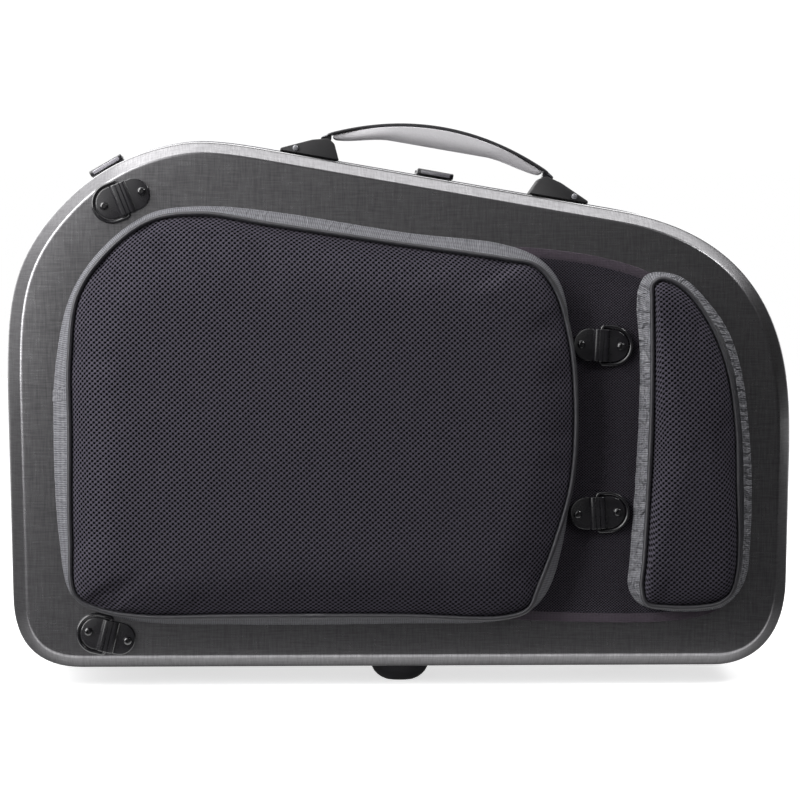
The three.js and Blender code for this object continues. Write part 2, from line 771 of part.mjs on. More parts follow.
function addCushion(name, baseShares, topShares, length, height, middle, rise) {
  const base = closedCurve(baseShares, length, height, middle, rise)
    .getPoints(padStations)
    .slice(0, padStations);
  const top = closedCurve(topShares, length, height, middle, rise)
    .getPoints(padStations)
    .slice(0, padStations);
  const bottom = -cushionBase;
  const shoulder = -cushionBase - cushionSideHeight;
  const half = (bottom + shoulder) / 2;

  // Ribbon that closes the cushion's side, drawn in at half height
  const waist = between(base, top, 1 / 2);
  const ribbonOuter = [
    insetLoop(base, 0, bottom),
    insetLoop(waist, cushionTuck, half),
    insetLoop(top, 0, shoulder),
  ];
  const ribbonInner = [
    insetLoop(base, ribbonThickness, bottom),
    insetLoop(waist, cushionTuck + ribbonThickness, half),
    insetLoop(top, ribbonThickness, shoulder),
  ];
  const sectionRings = [...ribbonInner, ...ribbonOuter.reverse()];
  const ribbon = hoop(base.map((_, index) => sectionRings.map((ring) => ring[index])));
  addPiece(`${name}_ribbon`, ribbon, ribbonCloth);

  // Piping cord that edges the mesh cover
  const cordDepth = shoulder - gap - pipingRadius;
  addPiece(`${name}_piping`, tubeLoop(insetLoop(top, 0, cordDepth), pipingRadius, tubeSides), pipingCloth);

  // Foam core under its mesh cover, crowned towards the middle
  const sideInset = ribbonThickness + gap;
  const coverEdge = pipingRadius + gap;
  const middlePoint = new THREE.Vector3();
  top.forEach((point) => middlePoint.addScaledVector(point, 1 / top.length));
  const coverLoop = insetLoop(top, coverEdge, cordDepth);
  const rounded = coverLoop.map(
    (point) =>
      new THREE.Vector3(
        point.x - (point.x - middlePoint.x) * (cushionShoulder / (length / 2)),
        cordDepth - cushionShoulder,
        point.z - (point.z - middlePoint.z) * (cushionShoulder / (height / 2))
      )
  );
  const rings = [
    insetLoop(base, sideInset, bottom),
    insetLoop(waist, cushionTuck + sideInset, half),
    insetLoop(top, Math.max(sideInset, coverEdge), shoulder),
    coverLoop,
    rounded,
  ];
  const edge = rings[rings.length - 1];
  for (const share of cushionCrownShares) {
    const bulge = (cushionCrown - cushionShoulder) * (1 - (1 - share) ** 2);
    rings.push(
      edge.map((point) => {
        const place = point.clone().lerp(middlePoint, share);
        place.y = edge[0].y - bulge;
        return place;
      })
    );
  }
  addPiece(name, cappedLoft(rings, 'x', 'z'), meshCloth);
}

// Strap rings: a ring held under the bridge of a screwed plate. Each plate stands off the
// sewn edge of the large cushion, at a share of the way round it, with its tilt in degrees.
const strapPlaces = [
  {
    name: 'upper_left',
    edgeShare: 0.72,
    stand: plateWidth / 2 + upperStrapClearance,
    tilt: 21.7,
    side: -1,
    seat: gap,
  },
  {
    name: 'lower_left',
    edgeShare: 0.0196,
    stand: plateWidth / 2 + lowerStrapClearance,
    tilt: -13.4,
    side: -1,
    seat: gap,
  },
  {
    name: 'upper_right',
    edgeShare: 0.4088,
    stand: plateLength / 2 + sideStrapClearance,
    tilt: -3,
    side: 1,
    seat: cushionBase,
  },
  {
    name: 'lower_right',
    edgeShare: 0.314,
    stand: plateLength / 2 + sideStrapClearance,
    tilt: 2.9,
    side: 1,
    seat: cushionBase,
  },
];

function plateGeometry() {
  const half = plateLength / 2;
  const radius = plateWidth / 2;
  const outline = new THREE.Shape();
  outline.absarc(half - radius, 0, radius, -Math.PI / 2, Math.PI / 2, false);
  outline.absarc(radius - half, 0, radius, Math.PI / 2, (3 * Math.PI) / 2, false);
  const stadium = acrossY(outline, bridgeHeight + 2 * cutOverrun, roundSides / 2);
  stadium.translate(0, -bridgeHeight - cutOverrun, 0);
  const channel = ringWire / 2 + gap;
  const channelTop = ringWire + 2 * gap;
  const profile = polygon([
    [-half - cutOverrun, 0],
    [-channel, 0],
    [-channel, -channelTop],
    [channel, -channelTop],
    [channel, 0],
    [half + cutOverrun, 0],
    [half + cutOverrun, -plateThickness],
    [bridgeFoot / 2, -plateThickness],
    [bridgeWidth / 2, -bridgeHeight],
    [-bridgeWidth / 2, -bridgeHeight],
    [-bridgeFoot / 2, -plateThickness],
    [-half - cutOverrun, -plateThickness],
  ]);
  const length = plateWidth + 2 * cutOverrun;
  const bar = extruded(profile, length).translate(0, 0, -length / 2);
  return geometryOf(solidOf(stadium).intersect(solidOf(bar)));
}

function ringLoop(side) {
  const halfWidth = (ringWidth - ringWire) / 2;
  const arcCentre = ringReach - ringWire / 2 - halfWidth;
  const path = new THREE.Path();
  path.absarc(ringCorner, -halfWidth + ringCorner, ringCorner, Math.PI, (3 * Math.PI) / 2, false);
  const corner = path.getSpacedPoints(ringCornerSteps);
  const bow = new THREE.Path();
  bow.absarc(arcCentre, 0, halfWidth, -Math.PI / 2, Math.PI / 2, false);
  const arc = bow.getSpacedPoints(ringArcSteps);
  const upper = corner.map((point) => new THREE.Vector2(point.x, -point.y)).reverse();
  const whole = [...corner, ...arc, ...upper];
  const loop = whole.map((point) => new THREE.Vector3(side * point.x, 0, point.y));
  return side > 0 ? loop : loop.reverse();
}

function screwGeometry() {
  const profile = [
    [0, 0],
    [strapScrewRadius, 0],
    [strapScrewRadius * Math.cos(Math.PI / 8), strapScrewHeight / 2],
    [strapScrewRadius * Math.sin(Math.PI / 4), strapScrewHeight],
    [strapScrewSocket, strapScrewHeight],
    [strapScrewSocket, strapScrewHeight / 2],
    [0, strapScrewHeight / 2],
  ].map(([x, y]) => new THREE.Vector2(x, y));
  return new THREE.LatheGeometry(profile, screwSides).rotateX(Math.PI);
}

function addStrapRings() {
  let screwNumber = 0;
  const edge = closedCurve(
    backPadBaseShares,
    backPadLength,
    backPadHeight,
    backPadMiddle,
    floorLift + backPadRise
  );
  for (const place of strapPlaces) {
    const point = edge.getPoint(place.edgeShare);
    const tangent = edge.getTangent(place.edgeShare);
    const group = new THREE.Group();
    group.position.set(
      point.x + tangent.z * place.stand,
      -place.seat,
      point.z - tangent.x * place.stand
    );
    group.rotation.y = -THREE.MathUtils.degToRad(place.tilt);
    caseGroup.add(group);
    addPiece(`strap_plate_${place.name}`, plateGeometry(), blackMetal, group);
    const ring = tubeLoop(ringLoop(place.side), ringWire / 2, tubeSides);
    ring.translate(0, -gap - ringWire / 2, 0);
    addPiece(`d_ring_${place.name}`, ring, blackMetal, group);
    for (const side of [-1, 1]) {
      screwNumber += 1;
      const screw = screwGeometry();
      screw.translate((side * strapScrewSpacing) / 2, -plateThickness - gap, 0);
      addPiece(`strap_screw_${screwNumber}`, screw, blackMetal, group);
    }
  }
}

// A group whose X runs along the edge, Y across the parting line and Z out of the case
function edgeGroup(stretch, share, offset, depth) {
  const place = outlinePlace(stretch, share);
  const group = new THREE.Group();
  const outward = new THREE.Vector3(place.nx, 0, place.nz);
  const along = new THREE.Vector3(place.nz, 0, -place.nx);
  group.quaternion.setFromRotationMatrix(new THREE.Matrix4().makeBasis(along, yAxis, outward));
  group.position.copy(outlinePoint(place, offset, depth));
  caseGroup.add(group);
  return group;
}

// Handle: two feet, a flexible strip over them and a soft grip under the strip
function handleRise(u) {
  return handleCrest - (handleCrest - handleFoot) * (u / handleHalfLength) ** 2;
}

function addHandle() {
  const group = edgeGroup('slope', handleShare, 0, handleDepthPlace);
  for (const [name, side] of [['left', -1], ['right', 1]]) {
    const shape = polygon([
      [side * footInner, footBase],
      [side * footTip, footBase],
      [side * footTip, footTipHeight],
      [side * footShoulder, footShoulderHeight],
      [side * footApex, footApexHeight],
      [side * footInnerTop, footInnerHeight],
    ]);
    const boreRadius = handlePinRadius + gap;
    shape.holes.push(hole(circle(side * handlePinPlace, handlePinHeight, boreRadius, screwSides)));
    const foot = acrossY(shape, footWidth).translate(0, -footWidth / 2, 0);
    addPiece(`handle_foot_${name}`, foot, blackPlastic, group);
    const pinLength = footWidth + 2 * gap + handlePinHeadHeight;
    const profile = [
      [0, 0],
      [handlePinHead, 0],
      [handlePinHead, handlePinHeadHeight],
      [handlePinRadius, handlePinHeadHeight],
      [handlePinRadius, pinLength],
      [0, pinLength],
    ].map(([x, y]) => new THREE.Vector2(x, y));
    const pin = new THREE.LatheGeometry(profile, screwSides);
    pin.translate(
      side * handlePinPlace,
      -footWidth / 2 - gap - handlePinHeadHeight,
      handlePinHeight
    );
    addPiece(`handle_pin_${name}`, pin, brightMetal, group);
  }
  const strip = new THREE.Shape();
  const stripPlaces = Array.from(
    { length: parabolaSteps + 1 },
    (_, step) => stripHalfLength * ((2 * step) / parabolaSteps - 1)
  );
  stripPlaces.forEach((u, step) => {
    if (step === 0) strip.moveTo(u, handleRise(u));
    else strip.lineTo(u, handleRise(u));
  });
  [...stripPlaces].reverse().forEach((u) => strip.lineTo(u, handleRise(u) - stripThickness));
  const stripBody = acrossY(strip, stripWidth).translate(0, -stripWidth / 2, 0);
  addPiece('handle_strip', stripBody, blackPlastic, group);

  const rings = Array.from({ length: gripStations + 1 }, (_, step) => {
    const u = gripHalfLength * ((2 * step) / gripStations - 1);
    const endShare = THREE.MathUtils.smoothstep(Math.abs(u), gripFlatHalf, gripHalfLength);
    const halfWidth = (handleWidth + (gripEndWidth - handleWidth) * endShare) / 2;
    const top = handleRise(u) - stripThickness - 2 * gap;
    const low = gripUnderside + (gripEndUnderside - gripUnderside) * endShare;
    const sectionShares = [[-1, 0], [-1, 0.35], [-0.82, 0.8], [-0.4, 1], [0.4, 1], [0.82, 0.8], [1, 0.35], [1, 0]];
    return sectionShares.map(
      ([across, down]) => new THREE.Vector3(u, across * halfWidth, top + (low - top) * down)
    );
  });
  addPiece('handle_grip', cappedLoft(rings, 'y', 'z'), gripRubber, group);
}

// Latches: a base with two ears on the lid, a lever hung in the ears, a keeper on the back
function latchBaseGeometry() {
  const floor = rimProud + gap;
  const start = gap;
  const end = start + latchBaseLength;
  const plate = polygon([
    [start, floor],
    [end, floor],
    [end, floor + latchBaseThickness],
    [start, floor + latchBaseThickness],
  ]);
  const ear = polygon([
    [end - latchEarLength, floor],
    [end, floor],
    [end, floor + latchEarHeight],
    [end - latchEarLength / 2, floor + latchEarHeight],
    [end - latchEarLength, floor + latchBaseThickness],
  ]);
  const pivotRadius = leverPivotRadius + gap;
  const pivot = circle(leverPivot, floor + leverPivotHeight - gap, pivotRadius, screwSides);
  const ears = [-1, 1].map((side) => {
    const body = acrossX(ear, latchEarWidth);
    return body.translate((side * (latchWidth - latchEarWidth)) / 2, 0, 0);
  });
  const bore = acrossX(polygon(pivot), latchWidth + 2 * cutOverrun);
  return cut(joined([acrossX(plate, latchWidth), ...ears]), bore);
}

function latchLeverGeometry() {
  const floor = rimProud + gap + latchBaseThickness + gap;
  const axis = rimProud + gap + leverPivotHeight - gap;
  const heel = Array.from({ length: heelSteps + 1 }, (_, step) => {
    const angle = (step / heelSteps - 1 / 2) * ((3 * Math.PI) / 4);
    return [
      leverPivot + (axis - floor) * Math.cos(angle),
      axis + (axis - floor) * Math.sin(angle),
    ];
  });
  const profile = polygon([
    [-leverTip, floor],
    [leverPivot, floor],
    ...heel,
    [leverPivot, floor + leverThickness],
    [-leverTip / 2, floor + leverThickness],
    [-leverTip, floor + leverThickness - leverLipHeight],
  ]);
  const pin = circle(leverPivot, axis, leverPivotRadius, screwSides);
  const trunnion = acrossX(polygon(pin), latchWidth);
  return joined([acrossX(profile, leverWidth), trunnion]);
}

function latchKeeperGeometry() {
  const floor = rimProud + gap;
  const back = -(leverTip + 2 * gap + keeperEnd);
  const plate = polygon([
    [back, floor],
    [back + keeperLength, floor],
    [back + keeperLength, floor + latchBaseThickness],
    [back, floor + latchBaseThickness],
  ]);
  const end = polygon([
    [back, floor],
    [back + keeperEnd, floor],
    [back + keeperEnd, floor + keeperHeight],
    [back, floor + keeperHeight - leverLipHeight],
  ]);
  const cheek = polygon([
    [back, floor],
    [back + keeperLength, floor],
    [back + keeperLength, floor + keeperHeight],
    [back + keeperEnd, floor + keeperHeight],
    [back, floor + keeperHeight - leverLipHeight],
  ]);
  const cheekWidth = (latchWidth - leverWidth) / 2 - gap - gap;
  const cheeks = [-1, 1].map((side) =>
    acrossX(cheek, cheekWidth).translate((side * (latchWidth - cheekWidth)) / 2, 0, 0)
  );
  return joined([acrossX(plate, latchWidth), acrossX(end, latchWidth), ...cheeks]);
}

function addLatches() {
  const places = [
    ['left', 'upperLeft', leftLatchShare],
    ['middle', 'slope', topLatchShare],
    ['right', 'right', rightLatchShare],
  ];
  for (const [name, stretch, share] of places) {
    const group = edgeGroup(stretch, share, wallDraft, backDepth);
    addPiece(`latch_base_${name}`, latchBaseGeometry(), blackPlastic, group);
    addPiece(`latch_lever_${name}`, latchLeverGeometry(), blackPlastic, group);
    addPiece(`latch_keeper_${name}`, latchKeeperGeometry(), blackPlastic, group);
  }
}

// Hinges under the straight long side: three knuckles on one pin
function hingeLeafGeometry(side, knuckles) {
  const top = -(rimProud + gap);
  const axis = top - hingeBarrelRadius;
  const inner = side * (hingeBarrelRadius + gap);
  const plate = polygon([
    [inner, top],
    [side * hingeLeaf, top],
    [side * hingeLeaf, top - hingeLeafThickness],
    [inner, top - hingeLeafThickness],
  ]);
  const bridge = polygon([
    [0, top],
    [inner + side * gap, top],
    [inner + side * gap, top - hingeLeafThickness],
    [0, top - hingeLeafThickness],
  ]);
  const bodies = [acrossX(plate, hingeWidth)];
  for (const [middle, width] of knuckles) {
    const barrel = polygon(circle(0, axis, hingeBarrelRadius, roundSides));
    bodies.push(acrossX(barrel, width).translate(middle, 0, 0));
    bodies.push(acrossX(bridge, width).translate(middle, 0, 0));
  }
  const hollow = polygon(circle(0, axis, hingePinRadius + gap, screwSides));
  const bore = acrossX(hollow, hingeWidth + 2 * cutOverrun);
  return cut(joined(bodies), bore);
}

function addHinges() {
  const knuckle = hingeWidth / 3;
  const width = knuckle - gap;
  const low = floorLift - wallDraft;
  const axis = -(rimProud + gap) - hingeBarrelRadius;
  for (const [name, side] of [['left', -1], ['right', 1]]) {
    const group = new THREE.Group();
    group.position.set(side * hingePlace, backDepth, low);
    caseGroup.add(group);
    const backLeaf = hingeLeafGeometry(-1, [[-knuckle, width], [knuckle, width]]);
    addPiece(`hinge_back_leaf_${name}`, backLeaf, blackMetal, group);
    addPiece(`hinge_front_leaf_${name}`, hingeLeafGeometry(1, [[0, width]]), blackMetal, group);
    const profile = [
      [0, 0],
      [hingePinHead, 0],
      [hingePinHead, hingePinRadius],
      [hingePinRadius, hingePinRadius],
      [hingePinRadius, hingePinRadius + hingeWidth],
      [0, hingePinRadius + hingeWidth],
    ].map(([x, y]) => new THREE.Vector2(x, y));
    const pin = new THREE.LatheGeometry(profile, screwSides).rotateZ(-Math.PI / 2);
    pin.translate(-hingeWidth / 2 - hingePinRadius, 0, axis);
    addPiece(`hinge_pin_${name}`, pin, blackMetal, group);
  }
}

// Rubber feet: one under the back shell, two under the lid, soles on z = 0
const footRingShares = [
  [0, 0],
  [0.14, 0.45],
  [0.5, 0.82],
  [1, 1],
];

function footGeometry(topHalfLength, topHalfWidth, soleHalfLength, soleHalfWidth, height) {
  const rings = footRingShares.map(([rise, spread]) =>
    Array.from({ length: footSides }, (_, side) => {
      const angle = (2 * Math.PI * side) / footSides;
      const halfLength = soleHalfLength + (topHalfLength - soleHalfLength) * spread;
      const halfWidth = soleHalfWidth + (topHalfWidth - soleHalfWidth) * spread;
      return new THREE.Vector3(
        halfLength * Math.cos(angle),
        halfWidth * Math.sin(angle),
        rise * height
      );
    })
  );
  return cappedLoft(rings, 'x', 'y');
}

function addFeet() {
  const centreEdge = centreFootPlace + centreFootWidth / 2;
  const centreHeight = floorLift - backDraft(centreEdge) - gap;
  const centreFoot = footGeometry(
    centreFootLength / 2,
    centreFootWidth / 2,
    soleLength / 2,
    soleWidth / 2,
    centreHeight
  );
  addPiece('centre_foot', centreFoot.translate(centreFootMiddle, centreFootPlace, 0), rubber);
  for (const [name, side] of [['left', -1], ['right', 1]]) {
    const x = side * frontFootPlace;
    const depth = backDepth + frontFootDepthShare * frontDepth(x);
    const height = floorLift - frontDraft(depth - frontFootRadius) - gap;
    const foot = footGeometry(
      frontFootRadius,
      frontFootRadius,
      frontSoleRadius,
      frontSoleRadius,
      height
    );
    addPiece(`front_foot_${name}`, foot.translate(x, depth, 0), rubber);
  }
}

addBackShell();
addFoamBed();
addMouthpieceBlock();
addTray();
addRims();
addPanel();
addCushion(
  'back_pad',
  backPadBaseShares,
  backPadTopShares,
  backPadLength,
  backPadHeight,
  backPadMiddle,
  floorLift + backPadRise
);
addCushion(
  'shoulder_pad',
  shoulderPadBaseShares,
  shoulderPadTopShares,
  shoulderPadLength,
  shoulderPadHeight,
  shoulderPadMiddle,
  floorLift + shoulderPadRise
);
addStrapRings();
addHandle();
addFrontShell();
addLidPad();
addHinges();
addLatches();
addFeet();

// The origin lies on the floor under the middle of the whole case
const latchReach =
  wallDraft + rimProud + gap + latchBaseThickness + gap + leverThickness;
const padReach = cushionBase + cushionSideHeight + gap + pipingRadius + cushionCrown;
const leftReach = Math.min(...stations.map((station) => station.x)) - wallDraft - rimProud;
const rightReach = outlinePlace('right', rightLatchShare).x + latchReach;
const middleX = (leftReach + rightReach) / 2;
const middleY = (backDepth + frontDeepDepth - padReach) / 2;
caseGroup.position.set(-middleX, -middleY, 0);

const group = new THREE.Group();
group.add(caseGroup);

export default group;
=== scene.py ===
import json
import math

import bmesh
import bpy
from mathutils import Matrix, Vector, noise

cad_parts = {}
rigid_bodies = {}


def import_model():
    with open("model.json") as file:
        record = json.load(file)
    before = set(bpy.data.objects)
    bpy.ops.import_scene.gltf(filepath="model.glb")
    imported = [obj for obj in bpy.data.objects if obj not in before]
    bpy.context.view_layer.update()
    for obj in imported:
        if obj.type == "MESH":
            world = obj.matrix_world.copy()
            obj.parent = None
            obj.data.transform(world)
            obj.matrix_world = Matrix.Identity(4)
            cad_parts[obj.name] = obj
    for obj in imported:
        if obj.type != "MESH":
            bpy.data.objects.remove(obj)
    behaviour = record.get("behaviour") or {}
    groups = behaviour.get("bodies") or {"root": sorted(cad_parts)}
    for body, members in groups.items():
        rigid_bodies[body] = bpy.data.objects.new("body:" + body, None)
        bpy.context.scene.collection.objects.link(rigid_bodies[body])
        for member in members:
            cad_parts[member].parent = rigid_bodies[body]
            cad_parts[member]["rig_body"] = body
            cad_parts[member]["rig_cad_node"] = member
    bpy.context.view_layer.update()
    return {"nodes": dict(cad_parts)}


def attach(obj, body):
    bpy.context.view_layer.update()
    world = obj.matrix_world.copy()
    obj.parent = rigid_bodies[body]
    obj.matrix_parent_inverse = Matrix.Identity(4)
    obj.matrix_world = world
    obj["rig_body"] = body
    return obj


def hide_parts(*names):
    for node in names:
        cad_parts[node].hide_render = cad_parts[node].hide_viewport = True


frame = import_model()

# Back shell
# Half of a rigid moulded case: a flat back with a broad chamfer all round and straight walls.
# It is vacuum formed from polycarbonate over a film of metallised linen, so it is graphite grey
# with fine crossed threads, and its clear skin carries the soft shine.
case_length = 650
case_height = 434
floor_lift = 15.6
back_depth = 95
wall = 5
wall_draft = 2.5
wall_draft_start = 15
chamfer_inset = 11.9
chamfer_depth = 13
crest_chamfer_share = 0.2
sole_chamfer_share = 0.13
chamfer_inner_radius = 4.5
chamfer_outer_radius = 9
lining_corner = 10
back_lip = 90.6
face_inset = 40
# The middle of the frame, along the case and in depth, and the millimetres in a metre
frame_origin = (2.6295, 149.25)
metre = 1000

# The outline seen from the back, walked anticlockwise from the bottom left. Each row is a
# number of steps and a line of two places or a curve of four, as shares of length and height.
outline_shares = [
    (28, [(-0.4043, 0), (0.4031, 0)]),
    (22, [(0.4031, 0), (0.4259, 0), (0.4929, 0.0139), (0.4949, 0.1633)]),
    (8, [(0.4949, 0.1633), (0.4987, 0.4117)]),
    (44, [(0.4987, 0.4117), (0.4987, 0.535), (0.5071, 0.8111), (0.2819, 0.8691)]),
    (20, [(0.2819, 0.8691), (-0.1582, 0.9828)]),
    (8, [(-0.1582, 0.9828), (-0.1761, 0.9874), (-0.221, 1), (-0.2538, 1)]),
    (16, [(-0.2538, 1), (-0.2779, 1), (-0.3593, 0.9853), (-0.4235, 0.8892)]),
    (20, [(-0.4235, 0.8892), (-0.4987, 0.7765), (-0.4987, 0.6842), (-0.4987, 0.5358)]),
    (14, [(-0.4987, 0.5358), (-0.4923, 0.1442)]),
    (24, [(-0.4923, 0.1442), (-0.4917, 0.1072), (-0.4917, 0), (-0.4043, 0)]),
]


def metres(x, depth, z):
    """A place in the case's millimetres, its depth counted from the back face, in the frame"""
    return Vector((x - frame_origin[0], depth - frame_origin[1], z)) / metre


def bezier(points, share):
    """The place and the direction at a share along a line of two points or a curve of four"""
    if len(points) == 2:
        return points[0].lerp(points[1], share), (points[1] - points[0]).normalized()
    a, b, c, d = points
    rest = 1 - share
    place = rest**3 * a + 3 * rest**2 * share * b + 3 * rest * share**2 * c + share**3 * d
    along = rest**2 * (b - a) + 2 * rest * share * (c - b) + share**2 * (d - c)
    return place, along.normalized()


def outline_place(stretch, share):
    """A place on the outline and the direction that points out of the case there"""
    shares = outline_shares[stretch][1]
    points = [Vector((x * case_length, floor_lift + z * case_height)) for x, z in shares]
    place, along = bezier(points, share)
    return place, Vector((along.y, -along.x))


stations = [
    outline_place(stretch, step / steps)
    for stretch, (steps, _) in enumerate(outline_shares)
    for step in range(steps)
]


def rounded(corners, steps=6):
    """A profile of (x, y) points through corners of (x, y, radius), each turned on its radius"""
    profile = [Vector(corners[0][:2])]
    for before, corner, after in zip(corners, corners[1:], corners[2:]):
        point, radius = Vector(corner[:2]), corner[2]
        back = (Vector(before[:2]) - point).normalized()
        ahead = (Vector(after[:2]) - point).normalized()
        half = back.angle(ahead) / 2
        if radius == 0 or half > math.radians(89.9):
            profile.append(point)
            continue
        run = radius / math.tan(half)
        centre = point + (back + ahead).normalized() * radius / math.sin(half)
        start, end = point + back * run - centre, point + ahead * run - centre
        for step in range(steps + 1):
            swing = start.lerp(end, step / steps).normalized() * radius
            profile.append(centre + swing)
    profile.append(Vector(corners[-1][:2]))
    return profile


def placed(name, data):
    """A new object of some data, linked to the scene"""
    obj = bpy.data.objects.new(name, data)
    bpy.context.scene.collection.objects.link(obj)
    return obj


def body(name, points, faces, *materials, smooth_angle=40):
    """A smooth mesh object whose edges stay sharp past an angle"""
    mesh = bpy.data.meshes.new(name)
    mesh.from_pydata([tuple(p) for p in points], [], [tuple(f) for f in faces])
    shape = bmesh.new()
    shape.from_mesh(mesh)
    bmesh.ops.recalc_face_normals(shape, faces=shape.faces)
    shape.to_mesh(mesh)
    shape.free()
    mesh.shade_smooth()
    mesh.set_sharp_from_angle(angle=math.radians(smooth_angle))
    for material in materials:
        mesh.materials.append(material)
    return placed(name, mesh)


def bands(rows, count, hooped=False):
    """The faces between rows of as many points each, and in a hoop from the last to the first"""
    faces = []
    for row in range(rows if hooped else rows - 1):
        first, second = row * count, (row + 1) % rows * count
        for i in range(count):
            j = (i + 1) % count
            faces.append((first + i, first + j, second + j, second + i))
    return faces


def loft(name, rings, *materials, capped=True, smooth_angle=40):
    """A body over closed rings of equal length, its first and last closed, or joined in a hoop"""
    count = len(rings[0])
    faces = bands(len(rings), count, hooped=not capped)
    if capped:
        last = (len(rings) - 1) * count
        faces.append(tuple(reversed(range(count))))
        faces.append(tuple(last + i for i in range(count)))
    return body(name, [p for ring in rings for p in ring], faces, *materials, smooth_angle=smooth_angle)


def linear(hex_colour, gain=1):
    """An sRGB hex colour as the linear values that nodes take, made lighter by a gain"""
    parts = [int(hex_colour[i : i + 2], 16) / 255 for i in (1, 3, 5)]
    return (*[gain * (c / 12.92 if c <= 0.04045 else ((c + 0.055) / 1.055) ** 2.4) for c in parts], 1)


def add(tree, kind, links=(), **settings):
    """Adds a node with its settings, and sets or links its inputs, given as (input, value). A
    node that is given as a value stands for the first output that it has in use."""
    node = tree.nodes.new(kind)
    for setting, value in settings.items():
        setattr(node, setting, value)
    for socket, value in links:
        if isinstance(value, bpy.types.Node):
            value = next(output for output in value.outputs if output.enabled)
        if isinstance(value, bpy.types.NodeSocket):
            tree.links.new(value, node.inputs[socket])
        else:
            node.inputs[socket].default_value = value
    return node


def maths(tree, operation, *values):
    """A node that works one value out from others"""
    return add(tree, "ShaderNodeMath", enumerate(values), operation=operation)


def ranged(tree, value, low, high, start=0, end=1, kind="LINEAR"):
    """A node that carries a value over from the range low to high to the range start to end"""
    links = [("Value", value), ("From Min", low), ("From Max", high), ("To Min", start), ("To Max", end)]
    return add(tree, "ShaderNodeMapRange", links, interpolation_type=kind)


def stretched(tree, place, scale):
    """A node that scales a place by its own amount along each axis"""
    return add(tree, "ShaderNodeVectorMath", [(0, place), (1, scale)], operation="MULTIPLY")


def speckle(tree, place, scale, detail, distortion=0):
    """A node of soft noise over a place"""
    links = [("Vector", place), ("Scale", scale), ("Detail", detail), ("Distortion", distortion)]
    return add(tree, "ShaderNodeTexNoise", links)


def blended(tree, share, first, second):
    """A node that goes from one colour to another, each a hex code, linear values or a node"""
    first, second = (linear(c) if isinstance(c, str) else c for c in (first, second))
    return add(tree, "ShaderNodeMix", [(0, share), (6, first), (7, second)], data_type="RGBA")


def bumped(tree, height, strength, distance, under=None):
    """A node that raises a surface by a height, over another bump if one is given"""
    links = [("Height", height), ("Strength", strength), ("Distance", distance)]
    return add(tree, "ShaderNodeBump", links + ([("Normal", under)] if under else []))


def start_material(name):
    """An empty node material and its tree"""
    material = bpy.data.materials.new(name)
    material.use_nodes = True
    tree = material.node_tree
    tree.nodes.clear()
    return material, tree


def finished(material, shader):
    """A material with its output joined to a shader"""
    add(material.node_tree, "ShaderNodeOutputMaterial", [("Surface", shader)])
    return material


def surfaced(material, colour, roughness, bump, more):
    """A material with a surface of a colour, a roughness, a bump and more inputs"""
    links = [("Base Color", colour), ("Roughness", roughness), ("Normal", bump)]
    return finished(material, add(material.node_tree, "ShaderNodeBsdfPrincipled", links + more))


def metallised_linen_polycarbonate():
    """Polycarbonate over metallised linen: dark silvery threads crossing under a satin skin.
    The real threads lie 0.5 mm apart and are drawn 0.95 mm apart, so that they show."""
    thread, thread_length = 0.95, 13
    material, tree = start_material("metallised_linen_polycarbonate")
    place = add(tree, "ShaderNodeTexCoord").outputs["Object"]
    facing = add(tree, "ShaderNodeSeparateXYZ", [(0, add(tree, "ShaderNodeNewGeometry").outputs["Normal"])])
    weave = 0
    for axis in range(3):
        scale = [metre / thread_length] * 3
        scale[axis] = metre / thread
        threads = speckle(tree, stretched(tree, place, scale), 1, 2)
        square = maths(tree, "MULTIPLY", facing.outputs[axis], facing.outputs[axis])
        share = maths(tree, "MULTIPLY", threads, maths(tree, "SUBTRACT", 1, square))
        weave = maths(tree, "ADD", share, weave)
    spread = ranged(tree, weave, 0.7, 1.3)
    tint = blended(tree, spread, "#5e5d5f", "#7b7a7c")
    satin = ranged(tree, spread, 0, 1, 0.32, 0.27)
    skin = [("Metallic", 0.9), ("Coat Weight", 0.4), ("Coat Roughness", 0.12)]
    return surfaced(material, tint, satin, bumped(tree, spread, 0.12, 0.0001), skin)


linen_polycarbonate = metallised_linen_polycarbonate()


def back_draft(depth):
    """How far the back shell's wall stands out at a depth"""
    return wall_draft * (depth - wall_draft_start) / (back_depth - wall_draft_start)


shell_profile = rounded([
    (-face_inset, 0), (-chamfer_inset, 0, chamfer_inner_radius),
    (back_draft(chamfer_depth), chamfer_depth, chamfer_outer_radius), (back_draft(back_lip), back_lip, 0),
    (back_draft(back_lip) - wall, back_lip, 0), (-wall, wall, lining_corner), (-face_inset, wall),
])


def shell_ring(offset, depth):
    """A ring of the shell, with its chamfer a little narrower along the top and the bottom"""
    ring = []
    for place, out in stations:
        share = crest_chamfer_share if out.y > 0 else sole_chamfer_share
        narrowed = 1 - share * out.y**2 if depth < wall else 1
        moved = place + out * (offset * narrowed if offset < 0 else offset)
        ring.append(metres(moved.x, depth, moved.y))
    return ring


back_shell = loft("back_shell_skin", [shell_ring(x, y) for x, y in shell_profile], linen_polycarbonate)
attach(back_shell, "back_half")
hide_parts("back_shell")

# Back lining
# Velvet glued over a thin formed plastic liner that follows the inside of the back shell and
# ends below the rim. The pile is short, so it looks matt and a little lighter at grazing angles.
fitting_gap = 0.3
lining = 3
back_lining_lip = 83.5


